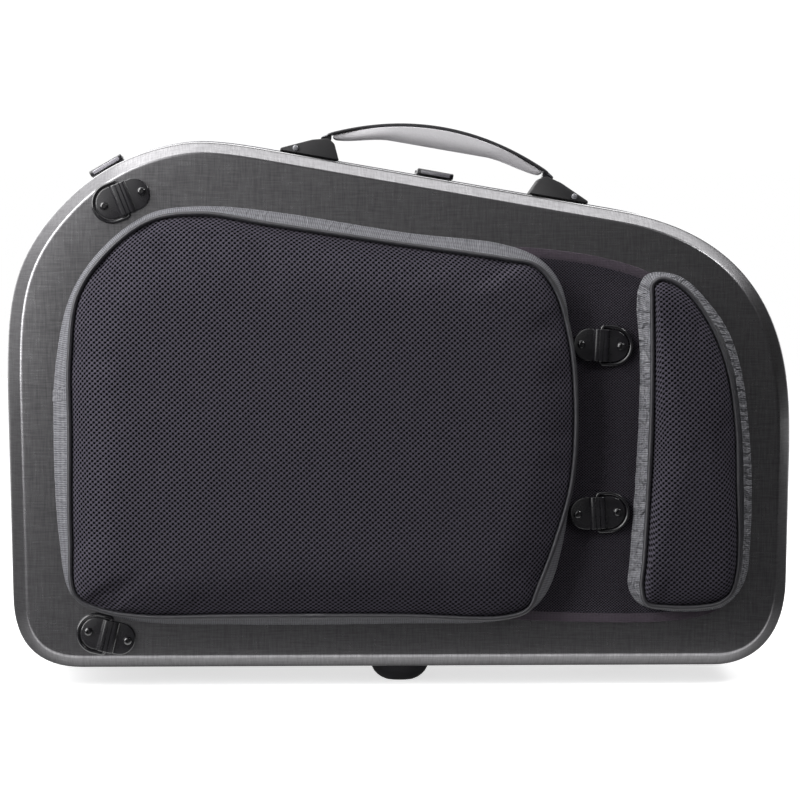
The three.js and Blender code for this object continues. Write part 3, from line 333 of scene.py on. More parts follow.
def velvet(name, dark, light):
    """Velvet or flock: short upright fibres, so a soft speckle and a pale bloom at the edges"""
    fibre = 0.9
    material, tree = start_material(name)
    place = add(tree, "ShaderNodeTexCoord").outputs["Object"]
    pile, brushed = speckle(tree, place, metre / fibre, 3), speckle(tree, place, 14, 2)
    tint = blended(tree, ranged(tree, maths(tree, "ADD", pile, brushed), 0.7, 1.3), dark, light)
    bloom = [("Sheen Weight", 0.5), ("Sheen Roughness", 0.4), ("Sheen Tint", linear("#8f93a0"))]
    return surfaced(material, tint, 0.95, bumped(tree, pile, 0.4, 0.0004), bloom)


lining_velvet = velvet("cotton_velvet", "#1d1f26", "#2c2f38")


def outline_ring(offset, depth):
    """The outline moved out by an offset, at a depth"""
    return [metres(p.x + n.x * offset, depth, p.y + n.y * offset) for p, n in stations]


def back_lining_side(inset):
    """One side of the lining, from its flat floor to its lip"""
    corner = (-inset, inset, wall_draft_start - inset)
    return rounded([(-face_inset, inset), corner, (back_draft(back_lining_lip) - inset, back_lining_lip)])


lining_outside = back_lining_side(wall + fitting_gap)
lining_inside = back_lining_side(wall + fitting_gap + lining)
lining_profile = lining_outside + lining_inside[::-1]
back_lining = loft("back_lining_velvet", [outline_ring(x, y) for x, y in lining_profile], lining_velvet)
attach(back_lining, "back_half")
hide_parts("back_lining")

# Foam bed and mouthpiece block
# Blocks of closed-cell foam cut to the horn's outline and flocked, dropped into the lining.
# Cut foam keeps a crisp edge that is just broken by the flock, and gives a matt dark surface.
foam_edge = 2.5
pocket_side = Vector((-0.287, 0.216))
# In metres: the least length and the most slant of an upright edge in a hole's wall, and how
# near two points are one. Then in radians, what counts as an edge to round off
upright_length, upright_slant, weld_reach = 0.005, 1e-5, 1e-6
crease_angle = 0.6
flat_angle, facet_angle, hole_cuts = 1, 50, 5
foam_flock = velvet("flocked_foam", "#2a2d35", "#3e414c")


def spline(a, b, c, d, share):
    """A place between b and c on the smooth curve that runs through all four"""
    bend = (2 * a - 5 * b + 4 * c - d) * share + (3 * b - a - 3 * c + d) * share**2
    return b + ((c - a) + bend) * share / 2


def round_hole(shape, near, cuts):
    """Cuts the facets of the hole wall nearest to a place finer and moves the cuts onto a curve"""

    def flat(vertex):
        return Vector((vertex.co.x, vertex.co.z))

    uprights = []
    for edge in shape.edges:
        run = edge.verts[0].co - edge.verts[1].co
        if abs(run.y) > upright_length and abs(run.x) + abs(run.z) < upright_slant:
            uprights.append(edge)
    walls = set(uprights)
    here = min(uprights, key=lambda e: (flat(e.verts[0]) - near).length)
    around, came = [here], None
    while True:
        face = next(f for f in around[-1].link_faces if f is not came)
        came, after = face, next(e for e in face.edges if e in walls and e is not around[-1])
        if after is here:
            break
        around.append(after)
    corners = [flat(e.verts[0]) for e in around]
    ends = [set(e.verts) for e in around]
    level = []
    for one, other in zip(ends, ends[1:] + ends[:1]):
        level += [e for v in one for e in v.link_edges if e.other_vert(v) in other]
    cut = bmesh.ops.subdivide_edges(shape, edges=level, cuts=cuts)
    for vertex in {g for g in cut["geom_inner"] if isinstance(g, bmesh.types.BMVert)}:
        fits = []
        for i, (start, end) in enumerate(zip(corners, corners[1:] + corners[:1])):
            share = (flat(vertex) - start).dot(end - start) / (end - start).length_squared
            nearest = start.lerp(end, min(max(share, 0), 1))
            fits.append(((nearest - flat(vertex)).length, i, share))
        _, i, share = min(fits)
        four = [corners[(i + step) % len(corners)] for step in (-1, 0, 1, 2)]
        vertex.co.x, vertex.co.z = spline(*four, share)


def softened(node, edge, segments, material, hole=None):
    """A copy of a part with its edges rounded off, and one of its holes drawn rounder"""
    obj = frame["nodes"][node].copy()
    obj.data = obj.data.copy()
    obj.parent = None
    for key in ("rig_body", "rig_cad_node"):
        if key in obj:
            del obj[key]
    obj.name = node + "_piece"
    bpy.context.scene.collection.objects.link(obj)
    shape = bmesh.new()
    shape.from_mesh(obj.data)
    bmesh.ops.remove_doubles(shape, verts=shape.verts, dist=weld_reach)
    level = math.radians(flat_angle)
    bmesh.ops.dissolve_limit(shape, angle_limit=level, verts=shape.verts, edges=shape.edges)
    if hole:
        round_hole(shape, hole, hole_cuts)
    creases = [e for e in shape.edges if len(e.link_faces) == 2 and e.calc_face_angle() > crease_angle]
    bmesh.ops.bevel(
        shape, geom=creases, offset=edge / metre, segments=segments, profile=0.5, affect="EDGES",
        clamp_overlap=True,
    )
    shape.to_mesh(obj.data)
    shape.free()
    obj.data.materials.clear()
    obj.data.materials.append(material)
    obj.data.shade_smooth()
    obj.data.set_sharp_from_angle(angle=math.radians(facet_angle))
    return obj


for node, hole in (("foam_bed", pocket_side), ("mouthpiece_block", None)):
    foam = softened(node, foam_edge, 3, foam_flock, hole)
    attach(foam, "back_half")
    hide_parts(node)

# Accessory tray
# A shallow injection-moulded tray of black ABS that drops into the foam bed. Its sides keep
# the fine spark-eroded grain of the mould, so the shine is low and broken.
tray_edge = 1


def moulded_plastic(name, base, roughness, grain, grain_strength):
    """Injection-moulded plastic: an even colour whose shine is broken by the mould's grain"""
    material, tree = start_material(name)
    place = add(tree, "ShaderNodeTexCoord").outputs["Object"]
    pits, wear = speckle(tree, place, metre / grain, 4), speckle(tree, place, 25, 3)
    tint = blended(tree, pits, base, linear(base, 1.25))
    shine = ranged(tree, wear, 0, 1, roughness - 0.07, roughness + 0.07)
    return surfaced(material, tint, shine, bumped(tree, pits, grain_strength, 0.0002), [("IOR", 1.53)])


tray_abs = moulded_plastic("grained_abs", "#1a1a1d", 0.5, 0.8, 0.35)
tray = softened("accessory_tray", tray_edge, 3, tray_abs)
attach(tray, "back_half")
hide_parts("accessory_tray")

# Rims and seal
# Each shell's edge is capped by an extruded aluminium channel, bent to the outline and
# brushed along its length. A strip of black rubber on the back rim seals the joint.
rim_leg = 1
rim_web = 1.9
rim_depth = 9
rim_bend = 0.45
back_rim_tip = 92.8
seal_width = 4
seal_inset = 0.5
seal_height = 1.6
seal_foot_radius, seal_top_radius = 0.3, 0.6


def brushed_aluminium():
    """Anodised aluminium brushed along the channel: grey metal with long fine scratches that
    run with the outline, and the shine stretched across them"""
    scratch = 0.25
    material, tree = start_material("brushed_anodised_aluminium")
    place = add(tree, "ShaderNodeTexCoord").outputs["Object"]
    lines = speckle(tree, stretched(tree, place, (12, metre / scratch, 12)), 1, 2)
    tint = blended(tree, lines, "#6f6e73", "#8b8a90")
    shine = ranged(tree, lines, 0, 1, 0.28, 0.46)
    return surfaced(material, tint, shine, bumped(tree, lines, 0.2, 0.0001), [("Metallic", 1)])


rim_aluminium = brushed_aluminium()


def front_draft(depth):
    """How far the front shell's wall stands out at a depth"""
    return wall_draft * (1 - (depth - back_depth) / (back_depth - wall_draft_start))


def rim(name, tip, web, foot, foot_draft):
    """A channel over a shell's edge: outer leg, web and inner leg, with its bends rounded"""
    outer = wall_draft + fitting_gap
    inner = foot_draft - wall - fitting_gap
    half_way = (foot + tip) / 2
    corners = [
        (outer, half_way), (outer, foot, 0), (outer + rim_leg, foot, rim_bend),
        (outer + rim_leg, tip, rim_bend), (inner - rim_leg, tip, rim_bend),
        (inner - rim_leg, foot, rim_bend), (inner, foot, 0), (inner, web, 0), (outer, web, 0),
        (outer, half_way),
    ]
    section = rounded(corners, 3)[:-1]
    obj = loft(name, [outline_ring(x, y) for x, y in section], rim_aluminium, capped=False)
    return obj


back_foot = back_rim_tip - rim_depth
back_rim = rim("back_rim_channel", back_rim_tip, back_rim_tip - rim_web, back_foot, back_draft(back_foot))
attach(back_rim, "back_half")
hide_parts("back_rim")
front_foot = back_depth + rim_depth
front_rim = rim("front_rim_channel", back_depth, back_depth + rim_web, front_foot, front_draft(front_foot))
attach(front_rim, "lid")
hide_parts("front_rim")

foot_rubber = moulded_plastic("moulded_rubber", "#232226", 0.78, 0.7, 0.5)
seal_outer = wall_draft - seal_inset
seal_base = back_depth - seal_height - fitting_gap
seal_top = back_depth - fitting_gap
seal_middle, seal_inner = seal_outer - seal_width / 2, seal_outer - seal_width
seal_corners = [
    (seal_middle, seal_base), (seal_outer, seal_base, seal_foot_radius),
    (seal_outer, seal_top, seal_top_radius), (seal_inner, seal_top, seal_top_radius),
    (seal_inner, seal_base, seal_foot_radius), (seal_middle, seal_base),
]
seal_section = rounded(seal_corners, 3)[:-1]
seal = loft("rubber_seal", [outline_ring(x, y) for x, y in seal_section], foot_rubber, capped=False)
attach(seal, "back_half")
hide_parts("rim_seal")

# Front shell
# The lid, formed from the same sheet as the back. It is deep over the bell of the horn and
# sweeps down in one smooth curve to the shallow end, with a large round edge all round.
front_shallow_depth = 75
front_deep_depth = 229
deep_end = -230
shallow_end = 150
front_edge_share = 0.32
front_lip = 97.2
front_edge_steps = 12
case_middle = floor_lift + case_height / 2


def eased(share):
    """A share of the way that starts and ends softly"""
    return share * share * (3 - 2 * share)


def front_depth(x):
    """The depth of the front shell at a place along the case"""
    share = min(max((x - deep_end) / (shallow_end - deep_end), 0), 1)
    return front_deep_depth + (front_shallow_depth - front_deep_depth) * eased(share)


def drawn_in(x, z, inset):
    """A place drawn in towards the middle of the case by an inset"""
    return (
        x * (1 - inset / (case_length / 2)),
        case_middle + (z - case_middle) * (1 - inset / (case_height / 2)),
    )


def front_side(inset, lip):
    """One side of the front shell, as rings from its lip to the edge of its face"""
    rings = [outline_ring(front_draft(lip) - inset, lip)]
    for step in range(front_edge_steps + 1):
        angle = step / front_edge_steps * math.pi / 2
        ring = []
        for place, out in stations:
            radius = front_edge_share * front_depth(place.x)
            wall_end = back_depth + front_depth(place.x) - radius
            shrink = radius * (1 - math.cos(angle))
            outer = place + out * front_draft(wall_end)
            side = outer - out * inset * math.cos(angle)
            x, z = drawn_in(side.x, side.y, shrink)
            outer_x, _ = drawn_in(outer.x, outer.y, shrink)
            top = back_depth + front_depth(outer_x)
            depth = top - radius * (1 - math.sin(angle)) - inset * math.sin(angle)
            ring.append(metres(x, depth, z))
        rings.append(ring)
    return rings


def face_rungs(ring, start):
    """Faces across a ring whose depth depends on its place along the case alone"""
    count = len(ring)
    order = sorted(range(count), key=lambda i: ring[i].x)
    left, right = order[0], order[-1]
    low = high = left
    faces = []
    while low != right or high != right:
        next_low, next_high = (low + 1) % count, (high - 1) % count
        lower_moves = high == right or (low != right and ring[next_low].x < ring[next_high].x)
        corner = next_low if lower_moves else next_high
        if low != high and corner not in (low, high):
            faces.append((start + low, start + corner, start + high))
        low, high = (corner, high) if lower_moves else (low, corner)
    return faces


def front_skin(name, outer_inset, inner_inset, lip, material):
    """A skin of the lid between two insets from its outside, open towards the back"""
    rings = front_side(inner_inset, lip)[::-1] + front_side(outer_inset, lip)
    last = (len(rings) - 1) * len(stations)
    faces = bands(len(rings), len(stations)) + face_rungs(rings[0], 0) + face_rungs(rings[-1], last)
    obj = body(name, [p for ring in rings for p in ring], faces, material)
    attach(obj, "lid")
    return obj


front_shell = front_skin("front_shell_skin", 0, wall, front_lip, linen_polycarbonate)
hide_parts("front_shell")

# Front lining and lid pad
# The lid is lined like the back. A block of foam covered in the same flock is glued inside
# the shallow end, and presses the horn into its bed when the case is shut.
front_lining_lip = 104.3
lid_pad_edge = 5

lining_start = wall + fitting_gap
front_lining = front_skin(
    "front_lining_velvet", lining_start, lining_start + lining, front_lining_lip, lining_velvet
)
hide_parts("front_lining")

lid_pad = softened("lid_pad", lid_pad_edge, 4, foam_flock)
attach(lid_pad, "lid")
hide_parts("lid_pad")

# Backing panel
# A sheet of fine black tricot mesh stretched flat over the back and screwed down under the
# straps. Both cushions are sewn to it. Its edge is folded into a plum hem with one stitch line.
panel_thickness = 1.6
panel_steps = 320
hem_width = 7.2
hem_rise = 0.15
hem_fold = 0.4
panel_bend, panel_lift = 0.3, 0.5
panel_core = 30
stitch_length, stitch_pitch, stitch_radius, stitch_margin = 2.1, 3.3, 0.22, 1

large_length, large_height, large_middle, large_rise = 432.7, 347.3, -68.8, 207
small_length, small_middle = 102.2, 238.4
panel_left = large_middle - large_length / 2
panel_right = small_middle + small_length / 2

# Shares of the room between the far ends of the cushions and of the large cushion's height
panel_shares = [
    (-0.431, -0.441), (-0.275, -0.471), (-0.005, -0.471), (0.433, -0.471), (0.478, -0.416),
    (0.486, -0.155), (0.476, 0.031), (0.444, 0.186), (0.397, 0.285), (0.358, 0.339),
    (0.284, 0.379), (0.186, 0.402), (0.124, 0.406), (-0.005, 0.431), (-0.19, 0.475),
    (-0.283, 0.487), (-0.359, 0.469), (-0.421, 0.4), (-0.464, 0.291), (-0.485, 0.143),
    (-0.482, -0.092), (-0.474, -0.341),
]


def closed_curve(shares, length, height, middle, rise):
    """A smooth closed curve through places, as a function of the share of the way round"""
    points = [Vector((middle + x * length, floor_lift + rise + z * height)) for x, z in shares]
    count = len(points)

    def at(share):
        index = int(share * count) % count
        weight = share * count - int(share * count)
        a, b, c, d = (points[(index + i - 1) % count] for i in range(4))
        ab, bc, cd = ((q - p).length ** 0.5 for p, q in ((a, b), (b, c), (c, d)))
        leave = ((b - a) / ab - (c - a) / (ab + bc) + (c - b) / bc) * bc
        arrive = ((c - b) / bc - (d - b) / (bc + cd) + (d - c) / cd) * bc
        square, cube = weight**2, weight**3
        return (
            b * (2 * cube - 3 * square + 1)
            + leave * (cube - 2 * square + weight)
            + c * (3 * square - 2 * cube)
            + arrive * (cube - square)
        )

    return at


def even_shares(curve, steps):
    """The shares at which a closed curve is cut into stretches of equal length"""
    fine = 12 * steps
    places = [curve(i / fine) for i in range(fine + 1)]
    reach = [0]
    for before, after in zip(places, places[1:]):
        reach.append(reach[-1] + (after - before).length)
    shares, index = [], 0
    for step in range(steps):
        wanted = reach[-1] * step / steps
        while reach[index + 1] < wanted:
            index += 1
        shares.append((index + (wanted - reach[index]) / (reach[index + 1] - reach[index])) / fine)
    return shares, reach[-1]


def inset(loop, amount):
    """A closed loop moved inwards in its own plane"""
    moved = []
    for before, place, after in zip(loop[-1:] + loop[:-1], loop, loop[1:] + loop[:1]):
        along = (after - before).normalized()
        moved.append(place + Vector((-along.y, along.x)) * amount)
    return moved


def at_depth(loop, depth):
    """The points of a flat loop at a depth behind the back face"""
    return [metres(p.x, -depth, p.y) for p in loop]


def knitted_mesh(name, cell_width, cell_height, skew, yarn_dark, yarn_light, hole, opening, spread):
    """Warp-knitted polyester mesh: rows of diamond holes in a quincunx, each ringed by yarn
    painted lighter where it crosses, a painted highlight. It shows as dark dots on soft violet grey."""
    material, tree = start_material(name)
    fabric = add(tree, "ShaderNodeUVMap").outputs[0]
    x, y, _ = add(tree, "ShaderNodeSeparateXYZ", [(0, fabric)]).outputs
    across = maths(tree, "MULTIPLY", maths(tree, "MULTIPLY_ADD", y, skew, x), 2 * math.pi / cell_width)
    up = maths(tree, "MULTIPLY", y, 2 * math.pi / cell_height)
    lattice = maths(tree, "MULTIPLY", maths(tree, "COSINE", across), maths(tree, "COSINE", up))
    holes = ranged(tree, lattice, opening - spread, opening + spread, kind="SMOOTHSTEP")
    # Painted highlight: the yarn's colour is lighter where it crosses between the holes, and a little along
    # one diagonal
    painted_crossing_highlight = ranged(tree, lattice, 0.25, -0.5, 0.35, 0.75)
    strand = maths(tree, "COSINE", maths(tree, "SUBTRACT", across, up))
    drawn = maths(tree, "MULTIPLY_ADD", strand, -0.07, painted_crossing_highlight)
    tufts = maths(tree, "MULTIPLY_ADD", speckle(tree, fabric, 1.4, 3), 2.6, -0.8)
    yarn_share = ranged(tree, maths(tree, "ADD", drawn, tufts), 0.45, 1.45)
    tint = blended(tree, holes, blended(tree, yarn_share, yarn_dark, yarn_light), hole)
    bump = bumped(tree, maths(tree, "SUBTRACT", yarn_share, holes), 0.5, 0.0006)
    dull = [("Specular IOR Level", 0.04), ("Sheen Weight", 0.03), ("Sheen Roughness", 0.5)]
    return surfaced(material, tint, 0.75, bump, dull)


def woven_tape(name, dark, light, ribs, crumple, roughness, sheen):
    """Woven polyester tape: fine ribs across its length, with the sheen of filament yarn, and
    the soft creases of tape that has been eased round a curve"""
    material, tree = start_material(name)
    tape = add(tree, "ShaderNodeUVMap").outputs[0]
    x, y, _ = add(tree, "ShaderNodeSeparateXYZ", [(0, tape)]).outputs
    rib = maths(tree, "COSINE", maths(tree, "MULTIPLY", x, 2 * math.pi / ribs))
    pick = maths(tree, "COSINE", maths(tree, "MULTIPLY", y, 2 * math.pi / (1.6 * ribs)))
    weave = maths(tree, "MULTIPLY_ADD", pick, 0.35, rib)
    stain = maths(tree, "MULTIPLY_ADD", speckle(tree, tape, 0.35, 4), 1.6, weave)
    tint = blended(tree, ranged(tree, stain, -0.4, 1.9), dark, light)
    creases = bumped(tree, speckle(tree, tape, 0.13, 2, 0.9), 1, crumple / metre)
    bump = bumped(tree, weave, 0.35, 0.0002, creases)
    return surfaced(material, tint, roughness, bump, [("Sheen Weight", sheen), ("Sheen Roughness", 0.35)])


def map_fabric(obj, place_of):
    """Gives each vertex its place on the uncut cloth, in millimetres"""
    layer = obj.data.uv_layers.new(name="cloth")
    for loop in obj.data.loops:
        layer.data[loop.index].uv = place_of(loop.vertex_index)


def map_flat(obj):
    """Lays the cloth's pattern straight on in X and Z"""
    places = [(v.co.x * metre, v.co.z * metre) for v in obj.data.vertices]
    map_fabric(obj, lambda index: places[index])


def stitches(name, loop, depth, length, pitch, radius, material):
    """A line of sewing along a closed loop: short raised stitches with a gap between them"""
    curve = bpy.data.curves.new(name, "CURVE")
    curve.dimensions = "3D"
    curve.bevel_depth = radius / metre
    curve.bevel_resolution = 2
    curve.use_fill_caps = True
    total = sum((b - a).length for a, b in zip(loop, loop[1:] + loop[:1]))
    count = round(total / pitch)
    index, start = 0, 0
    a, b = loop[:2]
    for stitch in range(count):
        ends = []
        for wanted in (stitch * total / count, stitch * total / count + length):
            while start + (b - a).length < wanted:
                start += (b - a).length
                index += 1
                a, b = loop[index % len(loop)], loop[(index + 1) % len(loop)]
            ends.append(a.lerp(b, (wanted - start) / (b - a).length))
        thread = curve.splines.new("POLY")
        thread.points.add(2)
        middle = ends[0].lerp(ends[1], 0.5)
        heights = (depth - radius, depth + radius / 2, depth - radius)
        for point, place, height in zip(thread.points, (ends[0], middle, ends[1]), heights):
            point.co = (*metres(place.x, -height, place.y), 1)
    curve.materials.append(material)
    return placed(name, curve)


panel_tricot = knitted_mesh("tricot_mesh", 2.6, 2.21, 0, "#1a181d", "#58545d", "#030204", 0.3, 0.25)
hem_tape = woven_tape("plum_hem_tape", "#352d36", "#4b414c", 1.2, 0.5, 0.7, 0.15)
black_thread = moulded_plastic("black_sewing_thread", "#161519", 0.6, 0.3, 0.2)

panel_length, panel_middle = panel_right - panel_left, (panel_left + panel_right) / 2
panel_curve = closed_curve(panel_shares, panel_length, large_height, panel_middle, large_rise)
panel_loop = [panel_curve(share) for share in even_shares(panel_curve, panel_steps)[0]]
panel_base = fitting_gap
panel_top = fitting_gap + panel_thickness
hem_top = panel_top + hem_rise

# Each row of the panel from its under side over the hem: how far inside the edge, and height
panel_section = [
    (panel_core, panel_base), (hem_fold, panel_base), (0, panel_base + panel_lift),
    (0, panel_top - panel_bend), (panel_bend, hem_top), (hem_width, hem_top),
    (hem_width + hem_fold, panel_top), (panel_core, panel_top),
]
panel_rings = [at_depth(inset(panel_loop, amount), height) for amount, height in panel_section]
panel = loft("backing_panel", panel_rings, panel_tricot, hem_tape)
hem_rows = 6
for face in panel.data.polygons[: hem_rows * panel_steps]:
    face.material_index = 1
map_flat(panel)
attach(panel, "back_half")
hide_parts("pad_panel")
panel_pairs = zip(panel_loop, panel_loop[1:] + panel_loop[:1])
panel_area = sum((a.x * b.y - b.x * a.y) / 2 for a, b in panel_pairs)
stitch_loop = inset(panel_loop, hem_width - stitch_margin)
panel_stitches = stitches(
    "hem_stitches", stitch_loop, hem_top, stitch_length, stitch_pitch, stitch_radius, black_thread
)
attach(panel_stitches, "back_half")

# Large back cushion
# A slab of foam under three-dimensional spacer mesh, edged by a piping cord and closed at the
# sides by a silver-grey woven ribbon. The ribbon leans outwards and is sewn to the panel.
cushion_base = 2.2
ribbon_height = 12
ribbon_thickness = 1.2
ribbon_tuck, tuck_power = 2.3, 1.6
ribbon_rows = 10
flange_rows = 1
piping_radius = 2
cover_inset, cover_round, cover_round_height = 2.3, 17, 6
swell_step, swell_pressure, swell_frames, swell_limit = 5, 4, 20, 2.5
cover_crown, crown_reach = 2, 45
cover_sway, sway_width, sway_start, sway_seed = 0.5, 38, 25, 3
cover_tuck, waist_tuck, seam_sink, foam_gap = 0.3, 2, 0.5, 0.1
wrap_share = 0.9
cord_sides, cord_facet = 14, 0.9
cushion_steps, sewn_rows = 420, 4

# Puckers of the ribbon: width and number of waves, of the broad and of the fine ones. Then the
# share of the fine ones, the way inwards, the depth at the seams, and how calm the right side is
pucker_width, pucker_waves, fine_width, fine_waves = 13, 1.1, 6, 2.5
fine_share, pucker_inwards, pucker_seam, right_calm = 0.45, -0.1, 0.12, 0.85
cover_shares = (
    0.004, 0.012, 0.025, 0.04, 0.06, 0.085, 0.115, 0.15, 0.2, 0.26, 0.33, 0.41, 0.5, 0.6, 0.7,
    0.8, 0.9, 0.97,
)

# Each row is a place on the sewn base line, as shares of the cushion's length and height
large_base_shares = [
    (-0.424, -0.452), (-0.337, -0.481), (-0.146, -0.489), (0.158, -0.488), (0.357, -0.48),
    (0.413, -0.45), (0.441, -0.405), (0.468, -0.291), (0.483, -0.149), (0.486, 0.04),
    (0.481, 0.194), (0.462, 0.315), (0.424, 0.374), (0.357, 0.409), (0.167, 0.438),
    (-0.089, 0.488), (-0.213, 0.5), (-0.317, 0.483), (-0.405, 0.404), (-0.466, 0.294),
    (-0.495, 0.135), (-0.5, -0.031), (-0.49, -0.28), (-0.468, -0.415),
]
# The same places on the piping line at the top of the ribbon
large_top_shares = [
    (-0.416, -0.446), (-0.336, -0.464), (-0.146, -0.464), (0.156, -0.465), (0.354, -0.469),
    (0.399, -0.449), (0.417, -0.4), (0.451, -0.287), (0.481, -0.146), (0.488, 0.042),
    (0.476, 0.195), (0.447, 0.31), (0.412, 0.36), (0.354, 0.376), (0.156, 0.411),
    (-0.093, 0.458), (-0.222, 0.482), (-0.316, 0.465), (-0.395, 0.393), (-0.452, 0.291),
    (-0.468, 0.148), (-0.468, -0.028), (-0.467, -0.276), (-0.458, -0.414),
]

spacer_mesh = knitted_mesh("spacer_mesh", 4.58, 4.19, 0.03, "#09070a", "#625e6a", "#010102", 0.22, 0.15)
grey_ribbon = woven_tape("grey_woven_ribbon", "#4b4b50", "#7e7e83", 1.5, 1.6, 0.55, 0.12)
piping_tape = woven_tape("black_piping_tape", "#161519", "#2e2d33", 0.9, 0.4, 0.42, 0.1)


def turns(count):
    """The angles of points that lie evenly round a circle"""
    return [2 * math.pi * i / count for i in range(count)]


def map_hoop(obj, count, run, rise):
    """Lays the cloth's pattern round a hoop of rows, each row by one rise further on"""
    layer = obj.data.uv_layers.new(name="cloth")
    for face in obj.data.polygons:
        around = [obj.data.loops[l].vertex_index % count for l in face.loop_indices]
        wraps = max(around) - min(around) > 1
        for l in face.loop_indices:
            row, i = divmod(obj.data.loops[l].vertex_index, count)
            i = count if wraps and i == 0 else i
            layer.data[l].uv = (i * run, row * rise)


def swollen(rings, held_rows):
    """The rings of a cover, blown up like a filled cushion by a cloth simulation on every fifth
    station, with the rows that are sewn down held in place"""
    count = cushion_steps // swell_step
    coarse = loft("cover_being_filled", [ring[::swell_step] for ring in rings])
    held = coarse.vertex_groups.new(name="sewn")
    held.add(list(range(held_rows * count)), 1, "REPLACE")
    cloth = coarse.modifiers.new("filled", "CLOTH")
    cloth.settings.quality = 5
    cloth.settings.mass = 0.25
    cloth.settings.tension_stiffness = cloth.settings.compression_stiffness = 12
    cloth.settings.shear_stiffness = 8
    cloth.settings.bending_stiffness = 4
    cloth.settings.vertex_group_mass = "sewn"
    cloth.settings.use_pressure = True
    cloth.settings.uniform_pressure_force = swell_pressure
    cloth.settings.effector_weights.gravity = 0
    cloth.collision_settings.use_collision = False
    for frame_number in range(1, swell_frames + 1):
        bpy.context.scene.frame_set(frame_number)
    blown = coarse.evaluated_get(bpy.context.evaluated_depsgraph_get()).data
    moves = [after.co - before.co for after, before in zip(blown.vertices, coarse.data.vertices)]
    bpy.data.objects.remove(coarse)
    bpy.context.scene.frame_set(1)
    filled = []
    for row, ring in enumerate(rings):
        around = moves[row * count : (row + 1) * count]
        mean = sum(around, Vector()) / count
        evened = (row / (len(rings) - 1)) ** 2
        new_ring = []
        for i, place in enumerate(ring):
            first, part = divmod(i, swell_step)
            move = around[first].lerp(around[(first + 1) % count], part / swell_step).lerp(mean, evened)
            new_ring.append(place + move * min(1, swell_limit / metre / max(move.length, 1e-9)))
        filled.append(new_ring)
    return filled


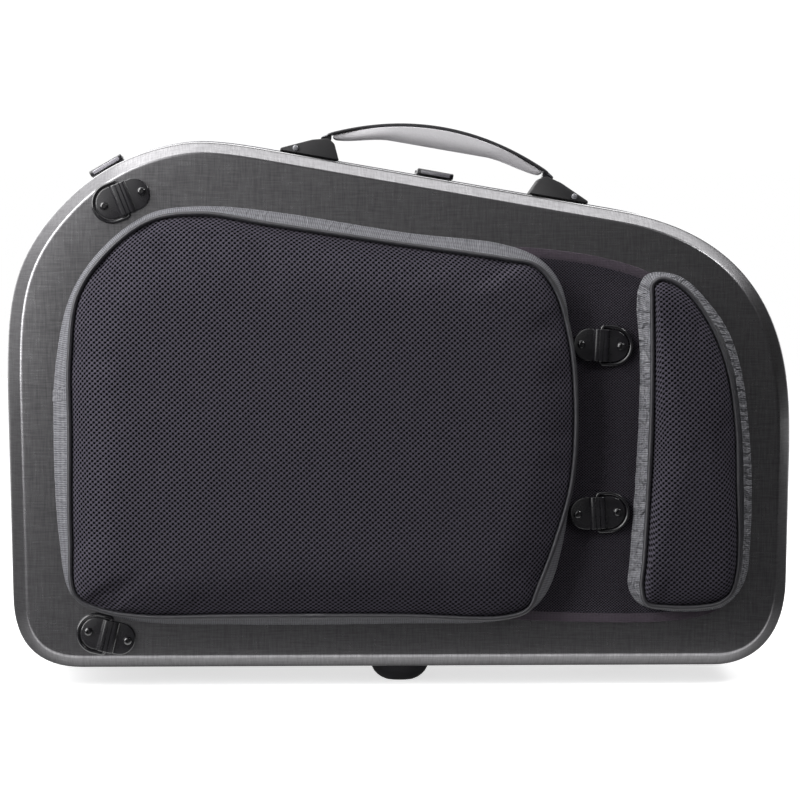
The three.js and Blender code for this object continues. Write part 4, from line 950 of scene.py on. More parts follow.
def cushion(name, base_shares, top_shares, size, tape, ruffle, right_shade_rows, nodes, lean):
    """One cushion of a size, given as length, height, middle and rise: its ribbon, piping cord
    and crowned mesh cover over foam"""
    base_curve = closed_curve(base_shares, *size)
    top_curve = closed_curve(top_shares, *size)
    count = cushion_steps
    shares, around = even_shares(top_curve, count)
    run = around / count
    base, top = [base_curve(s) for s in shares], [top_curve(s) for s in shares]
    waist = [a.lerp(b, 0.5) for a, b in zip(base, top)]
    ribbon_top = cushion_base + ribbon_height
    cord_depth = ribbon_top + fitting_gap + piping_radius

    # Ribbon: drawn in a little at half height and puckered by its seams, least on the right
    outwards = [(b - a).normalized() for a, b in zip(inset(top, 1), top)]
    rows = []
    for side in (0, 1):
        for row in range(ribbon_rows):
            share = row / (ribbon_rows - 1)
            share = 1 - share if side else share
            loop = [a.lerp(b, share) for a, b in zip(base, top)]
            swell = math.sin(math.pi * share**tuck_power)
            ring = []
            tuck = ribbon_tuck * swell + side * ribbon_thickness
            for place, further, out in zip(inset(loop, tuck), inset(loop, tuck + 1), outwards):
                broad = Vector((place.x / pucker_width, share * pucker_waves, place.y / pucker_width))
                fine = Vector((place.x / fine_width, share * fine_waves, place.y / fine_width))
                bulge = 0.5 + noise.noise(broad) + fine_share * noise.noise(fine)
                calm = 1 - right_calm * max(out.x, 0)
                pucker = -ruffle * max(bulge, pucker_inwards) * (pucker_seam + swell) * calm
                ring.append(place.lerp(further, pucker))
            rows.append(at_depth(ring, cushion_base + ribbon_height * share))
    ribbon = loft(f"{name}_ribbon_tape", rows, tape, piping_tape, capped=False, smooth_angle=70)
    map_hoop(ribbon, count, run, ribbon_height / ribbon_rows)
    # The top row of the ribbon is the piping's black flange tape; on sides that face right, more rows are
    # black as painted shade under the piping
    for face in ribbon.data.polygons:
        row, i = divmod(min(face.vertices), count)
        flange_and_shade_rows = flange_rows + round(right_shade_rows * max(outwards[i].x, 0))
        face.material_index = 1 if ribbon_rows - 1 - flange_and_shade_rows <= row < ribbon_rows - 1 else 0
    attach(ribbon, "back_half")
    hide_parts(nodes[1])

    # Piping: a cord in folded tape along the seam
    cord = []
    for angle in turns(cord_sides):
        out, up = piping_radius * math.cos(angle), piping_radius * math.sin(angle)
        cord.append(at_depth(inset(top, -out), cord_depth + up))
    piping = loft(f"{name}_piping_cord", cord, piping_tape, capped=False, smooth_angle=80)
    map_hoop(piping, count, run, cord_facet)
    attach(piping, "back_half")
    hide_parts(nodes[2])

    # Cover: rounded over at the seam, then crowned towards the middle
    side_inset = ribbon_thickness + fitting_gap + cover_tuck
    edge = inset(top, cover_inset)
    centre = sum(edge, Vector((0, 0))) / count
    start_depth = cord_depth - seam_sink
    rings = [
        at_depth(inset(base, side_inset), cushion_base + foam_gap),
        at_depth(inset(waist, waist_tuck + side_inset), cushion_base + ribbon_height / 2),
        at_depth(edge, ribbon_top),
        at_depth(edge, start_depth),
    ]
    for share in cover_shares:
        ring = []
        for place in edge:
            moved = place.lerp(centre, share)
            run_in = (moved - place).length
            turn = min(run_in / cover_round, 1)
            swell = cover_round_height * math.sqrt(1 - (1 - turn) ** 2)
            crown = cover_crown * (1 - math.exp(-run_in / crown_reach))
            sway = cover_sway * noise.noise(Vector((moved.x / sway_width, moved.y / sway_width, sway_seed)))
            sway *= min(run_in / sway_start, 1)
            ring.append(metres(moved.x, -(start_depth + swell + crown + sway), moved.y))
        rings.append(ring)
    rings = swollen(rings, sewn_rows)
    cover = loft(f"{name}_mesh_cover", rings, spacer_mesh, smooth_angle=75)

    # The cloth wraps over the round edge, so its pattern closes up towards the seam
    origin = Vector((frame_origin[0], 0))
    places = []
    for index, vertex in enumerate(cover.data.vertices):
        flat = Vector((vertex.co.x, vertex.co.z)) * metre
        edge_place = edge[index % count] - origin
        run_in = (flat - edge_place).length
        extra = wrap_share * cover_round_height * max(1 - run_in / cover_round, 0) ** 2
        away = (edge_place - (centre - origin)).normalized()
        places.append(flat + away * extra + Vector((0, flat.x * lean)))
    map_fabric(cover, lambda index: places[index])
    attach(cover, "back_half")
    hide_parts(nodes[0])
    return rows, top, cord_depth


large_size = (large_length, large_height, large_middle, large_rise)
large_nodes = ("back_pad", "back_pad_ribbon", "back_pad_piping")
large_ruffle, large_lean = 0.8, 0.01
large_rows, large_top, large_cord = cushion(
    "large_cushion", large_base_shares, large_top_shares, large_size, grey_ribbon, large_ruffle, 0,
    large_nodes, large_lean,
)

# Joint of the ribbon, at the left, and seam tab of the piping, under the middle
# The ribbon's end is lapped over its start and sewn down. The cut ends of the piping meet
# under a short tab of black tape folded over them.
joint_low, joint_high, joint_lap, joint_sink = 239, 250, 0.7, 0.2
tab_left, tab_right, tab_thickness, tab_reach = -80, -61, 0.45, 4
tab_start, tab_turn, tab_steps, tab_sink = -95, 250, 14, 0.3
flap_gap, flap_half = 0.4, 0.8

on_left = [i for i, p in enumerate(large_top) if p.x < large_middle and joint_low < p.y < joint_high]
lap_rings = []
for i in on_left:
    outside = [large_rows[r][i] for r in range(ribbon_rows)]
    inside = [large_rows[2 * ribbon_rows - 1 - r][i] for r in range(ribbon_rows)]
    raised = [o + (o - n) * joint_lap / ribbon_thickness for o, n in zip(outside, inside)]
    sunk = [o - (o - n) * joint_sink for o, n in zip(outside, inside)]
    lap_rings.append(raised + sunk[::-1])
lap = loft("ribbon_joint", lap_rings, grey_ribbon)
map_flat(lap)
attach(lap, "back_half")

below = [i for i, p in enumerate(large_top) if p.y < floor_lift + large_rise and tab_left < p.x < tab_right]
tab_rings = []
for i in below:
    here = large_top[i]
    out = here - inset([large_top[i - 1], here, large_top[(i + 1) % cushion_steps]], 1)[1]
    outer, inner = [], []
    for step in range(tab_steps + 1):
        angle = math.radians(tab_start + tab_turn * step / tab_steps)
        for points, radius in ((outer, piping_radius + tab_thickness), (inner, piping_radius - tab_sink)):
            side = here + out * radius * math.cos(angle)
            points.append(metres(side.x, -(large_cord + radius * math.sin(angle)), side.y))
    foot = large_cord - piping_radius - tab_reach
    flaps = at_depth([here + out * (tab_thickness + flap_gap), here - out * flap_half], foot)
    tab_rings.append([flaps[0]] + outer + inner[::-1] + [flaps[1]])
tab = loft("piping_seam_tab", tab_rings, piping_tape, smooth_angle=50)
map_flat(tab)
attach(tab, "back_half")

# Shoulder cushion
# The narrow cushion at the shallow end, made like the large one. Its ribbon was sewn on round
# tight curves, so it puckers more.
small_base_shares = [
    (-0.403, -0.475), (-0.202, -0.494), (0.081, -0.497), (0.258, -0.485), (0.379, -0.449),
    (0.46, -0.393), (0.488, -0.299), (0.5, -0.122), (0.476, 0.04), (0.411, 0.216), (0.298, 0.334),
    (0.105, 0.431), (-0.056, 0.484), (-0.218, 0.502), (-0.363, 0.493), (-0.427, 0.446),
    (-0.407, 0.246), (-0.419, 0.04), (-0.451, -0.166), (-0.484, -0.343), (-0.496, -0.425),
]
small_top_shares = [
    (-0.368, -0.467), (-0.199, -0.478), (0.058, -0.478), (0.218, -0.467), (0.314, -0.439),
    (0.362, -0.378), (0.378, -0.293), (0.37, -0.133), (0.358, 0.043), (0.285, 0.218),
    (0.165, 0.335), (-0.003, 0.429), (-0.119, 0.467), (-0.255, 0.484), (-0.327, 0.467),
    (-0.331, 0.423), (-0.327, 0.248), (-0.336, 0.043), (-0.36, -0.161), (-0.388, -0.337),
    (-0.407, -0.425),
]
small_height, small_rise = 279.9, 185.9
small_size = (small_length, small_height, small_middle, small_rise)
small_nodes = ("shoulder_pad", "shoulder_pad_ribbon", "shoulder_pad_piping")
# Rows of ribbon made black as painted shade under the piping, on sides that face right
small_ruffle, small_right_shade_rows, small_lean = 3.2, 4, -0.05
creased_ribbon = woven_tape("creased_grey_ribbon", "#4b4b50", "#88888d", 1.5, 8, 0.5, 0.12)
cushion(
    "shoulder_cushion", small_base_shares, small_top_shares, small_size, creased_ribbon, small_ruffle,
    small_right_shade_rows, small_nodes, small_lean,
)

# Strap rings
# Four cast plates, each with a bridge that holds a bent steel ring for a backpack strap. They
# are powder coated satin black and fixed through the shell with hex-socket button screws.
plate_length, plate_width, plate_thickness = 45.6, 26.6, 3
plate_edge, plate_least, plate_corner_steps = 0.9, 0.2, 16
bridge_height, bridge_top, bridge_foot, shoulder_run, shoulder_drop = 6, 5, 7, 0.8, 0.5
groove_place, groove_half, groove_depth = 1.75, 0.55, 0.7
ring_radius, ring_half_width, ring_bow, ring_corner = 1.5, 15.5, 9.5, 2.2
ring_corner_steps, ring_bow_steps, wire_sides = 6, 40, 16
screw_spacing, screw_radius, screw_height, screw_socket = 33, 3.5, 2.2, 1.6
screw_rim, dome_angle, dome_sine, dome_steps, screw_sides = 0.35, 62, 0.883, 6, 24
socket_floor, socket_bevel, socket_flare = 0.8, 0.15, 1.08
# Half the opening for the ring's bar, the places of the bridge's stations along the plate, and
# how far round the plate's edge each row of points lies
bar_opening = 1.8
bridge_stations = [8.5, 7, 6.6, 6.2, 5.8, 5.4, 5, 4.6, 4.2, 3.4, 2.6, 2.3, 2, 1.8, 1.7, 1.5, 1.2, 0.9, 0]
edge_shares = [0, 0.06, 0.2, 0.45, 0.75, 1]

# Each row: name, place along the case, height, tilt in degrees, the side that the ring lies to,
# and how far the plate sits behind the back face
strap_places = [
    ("upper_left", -228.27, 402.35, 21.7, -1, 0.3),
    ("lower_left", -240.9, 43.7, -13.4, -1, 0.3),
    ("upper_right", 164.18, 282.19, -3, 1, 2.2),
    ("lower_right", 161.72, 144.2, 2.9, 1, 2.2),
]


def coated_metal(name, base, roughness, coat):
    """Powder-coated metal: a smooth satin skin with a very slight orange peel in its shine"""
    material, tree = start_material(name)
    place = add(tree, "ShaderNodeTexCoord").outputs["Object"]
    peel, handling = speckle(tree, place, 900, 2), speckle(tree, place, 60, 4)
    tint = blended(tree, handling, base, linear(base, 1.3))
    shine = ranged(tree, handling, 0.3, 0.7, roughness - 0.08, roughness + 0.1)
    skin = [("Coat Weight", coat), ("Coat Roughness", 0.18)]
    return surfaced(material, tint, shine, bumped(tree, peel, 0.15, 0.0001), skin)


satin_coat = coated_metal("satin_powder_coat", "#18171a", 0.26, 0.55)
black_oxide = coated_metal("black_oxide_steel", "#111013", 0.25, 0.6)


def bridge_profile(x):
    """Height of the plate's top along its length, with two grooves along the bridge"""
    reach = abs(x)
    if reach >= bridge_foot:
        return plate_thickness
    if reach > bridge_top:
        share = (bridge_foot - reach) / (bridge_foot - bridge_top)
        return plate_thickness + (bridge_height - plate_thickness) * eased(share)
    groove = max(0, 1 - (abs(reach - groove_place) / groove_half) ** 2)
    shoulder = max(0, reach - bridge_top + shoulder_run) ** 2 * shoulder_drop
    return bridge_height - groove_depth * groove - shoulder


def on_face(x_place, z_place, tilt, seat):
    """Turns places along, across and out of a tilted plate into places in the frame"""
    turn = math.radians(tilt)
    along = Vector((math.cos(turn), math.sin(turn)))
    upwards = Vector((-along.y, along.x))

    def at(x, y, out):
        flat = Vector((x_place, z_place)) + along * x + upwards * y
        return metres(flat.x, -(seat + out), flat.y)

    return at


def strap_plate(name, seat_place):
    """A rounded plate with its bridge, open underneath where the ring's bar turns"""
    half, radius = plate_length / 2, plate_width / 2
    channel = ring_radius + fitting_gap
    corner = [a * math.pi / (2 * plate_corner_steps) for a in range(plate_corner_steps + 1)]
    outer = [half - radius * (1 - math.cos(a)) for a in corner]
    right = [(x, 0) for x in outer] + [(x, 0) for x in bridge_stations if x > bar_opening]
    right += [(bar_opening, 0)] + [(x, 2 * channel) for x in bridge_stations if x <= bar_opening]
    across = right + [(-x, base) for x, base in right[:-1][::-1]]
    rings = []
    for x, base in across:
        beyond = max(abs(x) - (half - radius), 0)
        top = []
        for share in edge_shares:
            distance = share * plate_edge
            width = math.sqrt(max((radius - distance) ** 2 - beyond**2, 0))
            depth_in = min(radius - math.hypot(beyond, width), plate_edge)
            drop = plate_edge - math.sqrt(max(plate_edge**2 - (plate_edge - depth_in) ** 2, 0))
            top.append((width, max(bridge_profile(x) - drop, base + plate_least)))
        section = [(top[0][0], base)] + top + [(-y, z) for y, z in top[::-1]] + [(-top[0][0], base)]
        rings.append([seat_place(x, y, z) for y, z in section])
    return loft(name, rings, satin_coat, smooth_angle=35)


def button_screw(name, seat_place, x):
    """A domed screw head with a hexagonal socket"""
    base = plate_thickness + fitting_gap

    def circle(radius, height):
        ring = [(radius * math.cos(turn), radius * math.sin(turn)) for turn in turns(screw_sides)]
        return [seat_place(x + along, across, base + height) for along, across in ring]

    def hexagon(reach, height):
        places = []
        for turn in turns(screw_sides):
            past_flat = (turn + math.pi / 6) % (math.pi / 3) - math.pi / 6
            flat = reach * math.cos(math.pi / 6) / math.cos(past_flat)
            places.append(seat_place(x + flat * math.cos(turn), flat * math.sin(turn), base + height))
        return places

    rings = [circle(screw_radius, 0)]
    for step in range(dome_steps + 1):
        angle = step / dome_steps * math.radians(dome_angle)
        swell = (screw_height - screw_rim) * math.sin(angle) / dome_sine
        rings.append(circle(screw_radius * math.cos(angle), screw_rim + swell))
    rings.append(hexagon(screw_socket * socket_flare, screw_height))
    rings += [hexagon(screw_socket, screw_height - socket_bevel), hexagon(screw_socket, socket_floor)]
    return loft(name, rings, black_oxide, smooth_angle=30)


def mirrored(outline, side):
    """An outline, or its mirror image walked the same way round"""
    flipped = [Vector((side * p.x, p.y)) for p in outline]
    return flipped if side > 0 else flipped[::-1]


def ring_path(side):
    """The middle line of a bent ring: a bar with two small corners, and a bow to one side"""
    path = []
    for step in range(ring_corner_steps + 1):
        angle = math.pi * (1 + step / ring_corner_steps / 2)
        x, y = ring_corner * (1 + math.cos(angle)), ring_corner * (1 + math.sin(angle))
        path.append(Vector((x, y - ring_half_width)))
    for step in range(ring_bow_steps + 1):
        angle = math.pi * (step / ring_bow_steps - 0.5)
        x, y = ring_bow + ring_half_width * math.cos(angle), ring_half_width * math.sin(angle)
        path.append(Vector((x, y)))
    path += [Vector((p.x, -p.y)) for p in path[ring_corner_steps::-1]]
    return mirrored(path, side)


screw_number = 0
for name, x_place, z_place, tilt, side, seat in strap_places:
    seat_place = on_face(x_place, z_place, tilt, seat)
    plate = strap_plate(f"cast_plate_{name}", seat_place)
    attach(plate, "back_half")
    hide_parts(f"strap_plate_{name}")

    path = ring_path(side)
    wire = []
    for angle in turns(wire_sides):
        loop = inset(path, -ring_radius * math.cos(angle))
        out = ring_radius + fitting_gap + ring_radius * math.sin(angle)
        wire.append([seat_place(p.x, p.y, out) for p in loop])
    ring = loft(f"bent_ring_{name}", wire, black_oxide, capped=False, smooth_angle=80)
    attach(ring, f"ring_{name}")
    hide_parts(f"d_ring_{name}")

    for screw_side in (-1, 1):
        screw_number += 1
        screw = button_screw(f"button_screw_{screw_number}", seat_place, screw_side * screw_spacing / 2)
        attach(screw, "back_half")
        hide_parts(f"strap_screw_{screw_number}")

# Handle
# A sprung steel strip in a black nylon sleeve, riveted to two moulded feet, with a soft
# silver-grey grip clipped under it. The grip is satin rubber, and the feet are grained nylon.
# Row of the outline that the handle sits on, share of the way along it, and depth
slope, handle_share, handle_depth = 4, 0.5385, 50
handle_crest, handle_foot_rise, handle_half = 44.7, 16.2, 107.7
strip_half, strip_width, strip_thickness, strip_steps = 98.5, 24, 2.5, 40
strip_taper, strip_end_width, strip_end_thickness, strip_corner = 7, 0.8, 0.45, 0.4
grip_half, grip_width, grip_end_width, grip_steps = 88.4, 30, 18, 48
grip_low, grip_end_low, grip_flat, grip_shoulder, grip_clip = 26.4, 18.8, 40, 0.4, 0.93
grip_end_run, grip_end_drop, grip_end_narrow, grip_power = 3, 0.75, 0.85, 0.66
grip_corners = 28
foot_width, foot_edge, foot_edge_share = 26, 1, 0.15
tab_half, tab_edge, tab_bevel, tip_start = 8.5, 0.4, 0.3, 96.5
pin_sides = 20
pin_place, pin_height, pin_radius, pin_head_height = 118.3, 6.2, 1.6, 1.4

# Rounding of a foot's two sides: share of half its width, and share of the rounding drawn in
foot_sides = [
    (-1, 1), (-0.97, 0.45), (-0.92, 0.12), (-0.85, 0), (0.85, 0), (0.92, 0.12), (0.97, 0.45), (1, 1),
]
# Domed head of a pin, from its crown: how far in from the crown, and radius
pin_head = [(0, 0.7), (0.12, 1.4), (0.4, 2), (0.8, 2.35), (pin_head_height, 2.5)]

# Side of the tab that joins the strip to a foot: place along the edge, height and radius
tab_outline = [
    (95, 18.2, 0), (98.4, 16.9, 0.5), (98.6, 18.6, 0.5), (90.2, 22.4, 1), (89.6, 16.4, 1), (92.4, 18.4, 0),
    (95, 18.2, 0),
]

# Outline of a foot: place along the edge, height over it, and radius of the corner
foot_outline = [
    (105, 1.9, 0), (130.5, 1.9, 0.6), (130.5, 4.3, 1.5), (105.6, 15.6, 22), (92.4, 19, 3.5),
    (86.8, 15.3, 6), (80.7, 1.9, 0.6), (105, 1.9, 0),
]

foot_nylon = moulded_plastic("grained_nylon", "#131214", 0.7, 0.6, 0.4)
strip_sleeve = moulded_plastic("nylon_sleeve", "#1d1c1f", 0.45, 0.5, 0.25)
soft_grip = moulded_plastic("silver_grey_soft_grip", "#cfcdd0", 0.5, 0.9, 0.12)
rivet_steel = coated_metal("nickel_plated_steel", "#77777b", 0.22, 0.4)


def on_edge(stretch, share, offset, depth):
    """Turns places along, across and out of the edge into places in the frame"""
    place, out = outline_place(stretch, share)
    along = Vector((out.y, -out.x))

    def at(u, across, rise):
        flat = place + out * (offset + rise) + along * u
        return metres(flat.x, depth + across, flat.y)

    return at


handle_at = on_edge(slope, handle_share, 0, handle_depth)


def handle_rise(u):
    """Height of the strip's top over the case's edge"""
    return handle_crest - (handle_crest - handle_foot_rise) * (u / handle_half) ** 2


for name, side in (("left", -1), ("right", 1)):
    outline = mirrored(rounded(foot_outline, 8)[:-1], side)
    rings = []
    for share, amount in foot_sides:
        beside = foot_width / 2 - (1 - abs(share)) / foot_edge_share * foot_edge
        reach = math.copysign(beside, share)
        rings.append([handle_at(p.x, reach, p.y) for p in inset(outline, amount * foot_edge)])
    foot = loft(f"moulded_handle_foot_{name}", rings, foot_nylon, smooth_angle=35)
    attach(foot, "back_half")
    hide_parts(f"handle_foot_{name}")

    outline = mirrored(rounded(tab_outline, 4)[:-1], side)
    flat_half = tab_half - tab_edge
    rings = []
    for across, amount in ((-tab_half, tab_bevel), (-flat_half, 0), (flat_half, 0), (tab_half, tab_bevel)):
        rings.append([handle_at(p.x, across, p.y) for p in inset(outline, amount)])
    tab = loft(f"handle_tab_{name}", rings, satin_coat)
    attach(tab, "back_half")

    low = -foot_width / 2 - fitting_gap - pin_head_height
    high = foot_width / 2 + fitting_gap
    shank = [(low + pin_head_height, pin_radius), (high, pin_radius)]
    rings = []
    for across, radius in [(low + drop, spread) for drop, spread in pin_head] + shank:
        ring = []
        for turn in turns(pin_sides):
            along, up = side * pin_place + radius * math.cos(turn), pin_height + radius * math.sin(turn)
            ring.append(handle_at(along, across, up))
        rings.append(ring)
    rivet = loft(f"rivet_{name}", rings, rivet_steel, smooth_angle=50)
    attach(rivet, "back_half")
    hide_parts(f"handle_pin_{name}")

strip_rings = []
for step in range(2 * strip_steps + 1):
    u = strip_half * (step / strip_steps - 1)
    taper = min((strip_half - abs(u)) / strip_taper, 1)
    half = strip_width / 2 * (strip_end_width + (1 - strip_end_width) * math.sqrt(taper))
    thick = strip_thickness * (strip_end_thickness + (1 - strip_end_thickness) * taper)
    top = handle_rise(u) - (strip_thickness - thick)
    bend = thick * strip_corner
    corners = [
        (0, top), (half, top, bend), (half, top - thick, bend), (-half, top - thick, bend),
        (-half, top, bend), (0, top),
    ]
    strip_rings.append([handle_at(u, p.x, p.y) for p in rounded(corners, 4)[:-1]])
strip = loft("sprung_strip", strip_rings, strip_sleeve, rivet_steel)
tip = handle_at(0, 0, 0)
for face in strip.data.polygons:
    away = face.center - tip
    if math.hypot(away.x, away.z) * metre > tip_start:
        face.material_index = 1
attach(strip, "back_half")
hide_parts("handle_strip")

grip_rings = []
for step in range(2 * grip_steps + 1):
    u = grip_half * (step / grip_steps - 1)
    share = eased(min(max((abs(u) - grip_flat) / (grip_half - grip_flat), 0), 1))
    half = (grip_width + (grip_end_width - grip_width) * share) / 2
    top = handle_rise(u) - strip_thickness - 2 * fitting_gap
    low = grip_low + (grip_end_low - grip_low) * share
    near_end = max(0, (abs(u) - grip_half + grip_end_run) / grip_end_run)
    end = math.sqrt(1 - near_end**2 * grip_end_drop)
    shoulder = top - grip_shoulder
    section = [(grip_clip * half, top)]
    for corner in range(grip_corners + 1):
        angle = math.pi * corner / grip_corners
        y = math.copysign(abs(math.cos(angle)) ** grip_power, math.cos(angle)) * half
        z = shoulder - (shoulder - low) * math.sin(angle) ** grip_power * end
        section.append((y * (grip_end_narrow + (1 - grip_end_narrow) * end), z))
    section.append((-grip_clip * half, top))
    grip_rings.append([handle_at(u, y, z) for y, z in section])
grip = loft("soft_handle_grip", grip_rings, soft_grip)
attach(grip, "back_half")
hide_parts("handle_grip")

# Latches
# Three draw latches across the parting line: a moulded base and lever on the lid, and on the
# back a keeper whose end wears a polished inlay. They are glossy black nylon.
latch_edge, keeper_edge = 0.5, 0.8
inlay_half, inlay_height, inlay_radius, inlay_bevel = 12.6, 3.1, 1.2, 0.25
inlay_sunk, inlay_side, inlay_proud, inlay_rise = 0.4, 0.05, 0.25, 1
rim_proud = 1.3
keeper_back = -17.8

latch_nylon = moulded_plastic("glossy_nylon", "#19181b", 0.3, 0.9, 0.1)
inlay_steel = coated_metal("polished_inlay", "#8f8d93", 0.2, 0.5)

# Each latch: name, row of the outline that it sits on, and share of the way along it
right_side, upper_left = 2, 6
latch_places = [("left", upper_left, 0.75), ("middle", slope, 0.528), ("right", right_side, 0.7)]
for name, stretch, share in latch_places:
    for node, rider, edge in (
        (f"latch_base_{name}", "lid", latch_edge),
        (f"latch_lever_{name}", f"lever_{name}", latch_edge),
        (f"latch_keeper_{name}", "back_half", keeper_edge),
    ):
        piece = softened(node, edge, 3, latch_nylon)
        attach(piece, rider)
        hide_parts(node)
    latch_at = on_edge(stretch, share, wall_draft, back_depth)
    floor = rim_proud + fitting_gap + inlay_rise
    roof = floor + inlay_height
    corners = [
        (0, floor), (inlay_half, floor, inlay_radius), (inlay_half, roof, inlay_radius),
        (-inlay_half, roof, inlay_radius), (-inlay_half, floor, inlay_radius), (0, floor),
    ]
    shape = rounded(corners, 5)[:-1]
    rings = []
    for depth, amount in ((inlay_sunk, 0), (-inlay_side, 0), (-inlay_proud, inlay_bevel)):
        rings.append([latch_at(p.x, keeper_back + depth, p.y) for p in inset(shape, amount)])
    inlay = loft(f"keeper_inlay_{name}", rings, inlay_steel)
    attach(inlay, "back_half")

# Hinges
# Two butt hinges under the straight long side. Each has pressed steel leaves rolled round one
# pin and is powder coated like the strap plates.
leaf_edge, hinge_pin_edge = 0.35, 0.25
for name in ("left", "right"):
    for node, rider, edge in (
        (f"hinge_back_leaf_{name}", "back_half", leaf_edge),
        (f"hinge_front_leaf_{name}", "lid", leaf_edge),
        (f"hinge_pin_{name}", "back_half", hinge_pin_edge),
    ):
        piece = softened(node, edge, 2, satin_coat)
        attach(piece, rider)
        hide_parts(node)

# Feet
# Moulded rubber feet on the straight long side: one long bump under the back shell and two
# round ones under the lid. Their sides bulge down to a flat sole that has worn smoother.
# The foot under the back shell: its place, and half its length and width at the top and the sole
centre_x, centre_depth, centre_half_width = 1.5, 49, 17
centre_foot = (24.15, centre_half_width, 8.85, 8)
front_foot_x, front_foot_top, front_foot_sole, front_foot_share = 200, 15, 9, 0.5
foot_stations = 64
# Each row: share of the height over the floor, and of the way from the sole's size to the foot's
foot_profile = [
    (0, -0.25), (0, 0), (0.02, 0.2), (0.14, 0.45), (0.31, 0.66), (0.5, 0.82), (0.74, 0.94), (0.93, 0.995),
    (1, 1),
]


def rubber_foot(name, x, depth, half_length, half_width, sole_length, sole_width, height):
    """A foot that bulges from its sole on the floor up to the shell"""
    rings = []
    for rise, spread in foot_profile:
        length = sole_length + (half_length - sole_length) * spread
        width = sole_width + (half_width - sole_width) * spread
        edge = [(x + length * math.cos(t), depth + width * math.sin(t)) for t in turns(foot_stations)]
        rings.append([metres(*place, rise * height) for place in edge])
    obj = loft(name, rings, foot_rubber, smooth_angle=30)
    return obj


height = floor_lift - back_draft(centre_depth + centre_half_width) - fitting_gap
foot = rubber_foot("rubber_foot_middle", centre_x, centre_depth, *centre_foot, height)
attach(foot, "back_half")
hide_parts("centre_foot")
for name, side in (("left", -1), ("right", 1)):
    x = side * front_foot_x
    depth = back_depth + front_foot_share * front_depth(x)
    height = floor_lift - front_draft(depth - front_foot_top) - fitting_gap
    sizes = (front_foot_top, front_foot_top, front_foot_sole, front_foot_sole)
    foot = rubber_foot(f"rubber_foot_{name}", x, depth, *sizes, height)
    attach(foot, "lid")
    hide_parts(f"front_foot_{name}")

# Studio
# White paper under and behind the case, a broad light on the left, a long one overhead, and a
# narrow strip from the upper right that draws the line along the sloping edge.
photo_width = 660.9
camera_place = (-126, -2235, 350.6)
photo_depth = 15
photo_target = (-0.17, 236.4)
sensor = 36
floor_size = 12000


def direct_view(tree):
    """The kinds of ray, and whether the ray comes straight from the camera"""
    path = add(tree, "ShaderNodeLightPath")
    return path, maths(tree, "MAXIMUM", path.outputs["Is Camera Ray"], path.outputs["Is Transmission Ray"])


def faded(tree, value, low, high, start=0, end=1):
    """A node that goes softly from start to end as a value goes from low to high"""
    return ranged(tree, value, low, high, start, end, "SMOOTHSTEP")


def studio_paper():
    """White paper sweep. The camera sees it white, with the case's own soft shadow on it. In the case's
    shine the paper glows, a painted reflection bright in front of the case with a painted shadow beneath it,
    and the room beyond it is dark."""
    material, tree = start_material("white_paper_sweep")
    path, seen = direct_view(tree)
    place = add(tree, "ShaderNodeNewGeometry").outputs["Position"]
    x, y, _ = add(tree, "ShaderNodeSeparateXYZ", [(0, place)]).outputs
    distance = add(tree, "ShaderNodeVectorMath", [(0, place)], operation="LENGTH").outputs["Value"]
    lift = faded(tree, distance, 0.7, 2.2, 0.68, 0.98)
    # Seen by glossy rays the paper glows, a painted reflection: bright in front of the case, with a painted
    # shadow beneath the case
    painted_shadow_beneath, backdrop = faded(tree, y, -0.153, -0.125, 1, 0.1), faded(tree, y, 0.2, 0.5, 0, 0.35)
    painted_front_glow = faded(tree, y, -0.24, -0.165, 0, 2.2)
    painted_front_glow = maths(tree, "MULTIPLY", painted_front_glow, maths(tree, "ADD", painted_shadow_beneath, backdrop))
    board = faded(tree, maths(tree, "ABSOLUTE", x), 0.34, 0.6, 1, 0.05)
    under = maths(tree, "MAXIMUM", maths(tree, "MULTIPLY", painted_front_glow, board), faded(tree, y, 0.3, 1.0))
    in_shine = maths(tree, "MULTIPLY", path.outputs["Is Glossy Ray"], under)
    level = add(tree, "ShaderNodeMix", [(0, seen), (2, in_shine), (3, lift)], data_type="FLOAT")
    paper = add(tree, "ShaderNodeBsdfDiffuse", [("Color", blended(tree, seen, "#4a4a4b", "#e9e9ea"))])
    glow = add(tree, "ShaderNodeEmission", [("Color", linear("#ffffff")), ("Strength", level)])
    return finished(material, add(tree, "ShaderNodeAddShader", [(0, paper), (1, glow)]))


half_floor = floor_size / 2
floor_corners = ((-1, -1), (1, -1), (1, 1), (-1, 1))
floor_places = [metres(x * half_floor, y * half_floor, 0) for x, y in floor_corners]
paper_floor = body("paper_floor", floor_places, [(0, 1, 2, 3)], studio_paper())

# The room that the case mirrors, by the way the shine looks: a lit sweep in front of the case,
# a glow from the left, and a pale window behind the camera's left. The matt pieces see a dim room.
ambience = 0.025
window_level = 0.5
# Each edge of the window: axis, start, end and the levels there
window_edges = [
    ("X", -0.14, -0.05, 1, 0), ("X", -0.5, -0.3, 0, 1), ("Z", -0.16, 0.02, 0, 1), ("Y", -0.8, -0.5, 1, 0),
]
bpy.context.scene.world = bpy.data.worlds.new("studio")
bpy.context.scene.world.use_nodes = True
sky = bpy.context.scene.world.node_tree
sky.nodes.clear()
sky_path, sky_seen = direct_view(sky)
ways = add(sky, "ShaderNodeSeparateXYZ", [(0, add(sky, "ShaderNodeTexCoord").outputs["Generated"])])
x, y, z = ways.outputs
sideways = maths(sky, "MULTIPLY", faded(sky, x, -0.55, 0.14, 2.5, 0.02), faded(sky, x, -0.98, -0.6, 0.28, 1))
above = maths(sky, "MULTIPLY_ADD", faded(sky, y, 0.6, 0.85, 0, 2.4), faded(sky, z, 0.03, 0.22), 1)
sweep = maths(sky, "MULTIPLY", faded(sky, y, 0.45, 0.85), above)
window = window_level
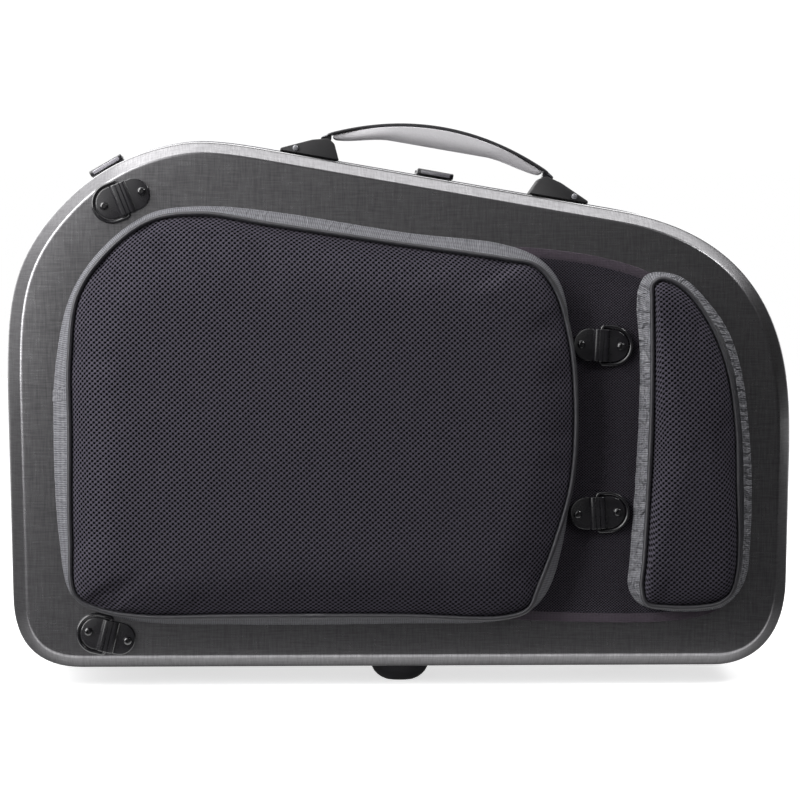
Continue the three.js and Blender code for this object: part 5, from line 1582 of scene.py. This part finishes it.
for axis, low, high, from_level, to_level in window_edges:
    edge = faded(sky, ways.outputs[axis], low, high, from_level, to_level)
    window = maths(sky, "MULTIPLY", edge, window)
room = maths(sky, "ADD", maths(sky, "MAXIMUM", sweep, sideways), window)
links = [(0, sky_path.outputs["Is Diffuse Ray"]), (2, maths(sky, "MAXIMUM", room, sky_seen)), (3, ambience)]
level = add(sky, "ShaderNodeMix", links, data_type="FLOAT")
light = add(sky, "ShaderNodeBackground", [("Color", linear("#ffffff")), ("Strength", level)])
add(sky, "ShaderNodeOutputWorld", [("Surface", light)])

# Each light: name, azimuth from the back face, elevation, distance, place aside, width, height,
# radiance
softboxes = [
    ("key_softbox", -60, 28, 1250, 0, 550, 1400, 9.0),
    ("fill_softbox", 58, 37, 2100, 0, 1000, 190, 20.0),
    ("overhead_softbox", 180, 83, 1500, 760, 3400, 700, 3.8),
]
light_target = metres(0, 60, case_middle)
for name, azimuth, elevation, distance, aside, width, height, radiance in softboxes:
    lamp = bpy.data.lights.new(name, "AREA")
    lamp.shape = "RECTANGLE"
    lamp.size, lamp.size_y = width / metre, height / metre
    lamp.energy = radiance * math.pi * lamp.size * lamp.size_y
    holder = placed(name, lamp)
    turn, lift = math.radians(azimuth), math.radians(elevation)
    away = Vector((math.sin(turn) * math.cos(lift), -math.cos(turn) * math.cos(lift), math.sin(lift)))
    holder.location = light_target + away * distance / metre + Vector((aside / metre, 0, 0))
    holder.rotation_euler = away.to_track_quat("Z", "Y").to_euler()

camera_data = bpy.data.cameras.new("camera")
camera = placed("camera", camera_data)
bpy.context.scene.camera = camera
camera.location = metres(*camera_place)
straight = metres(camera_place[0], photo_depth, camera_place[2])
target = metres(photo_target[0], photo_depth, photo_target[1])
camera.rotation_euler = ((straight + target) / 2 - camera.location).to_track_quat("-Z", "Y").to_euler()
distance = (straight - camera.location).length
camera_data.sensor_width = sensor
camera_data.lens = sensor * distance * metre / photo_width
bpy.context.view_layer.update()
local = camera.matrix_world.inverted() @ target
camera_data.shift_x = local.x / -local.z * camera_data.lens / sensor
camera_data.shift_y = local.y / -local.z * camera_data.lens / sensor
bpy.context.scene.view_settings.view_transform = "Standard"

bpy.context.view_layer.update()
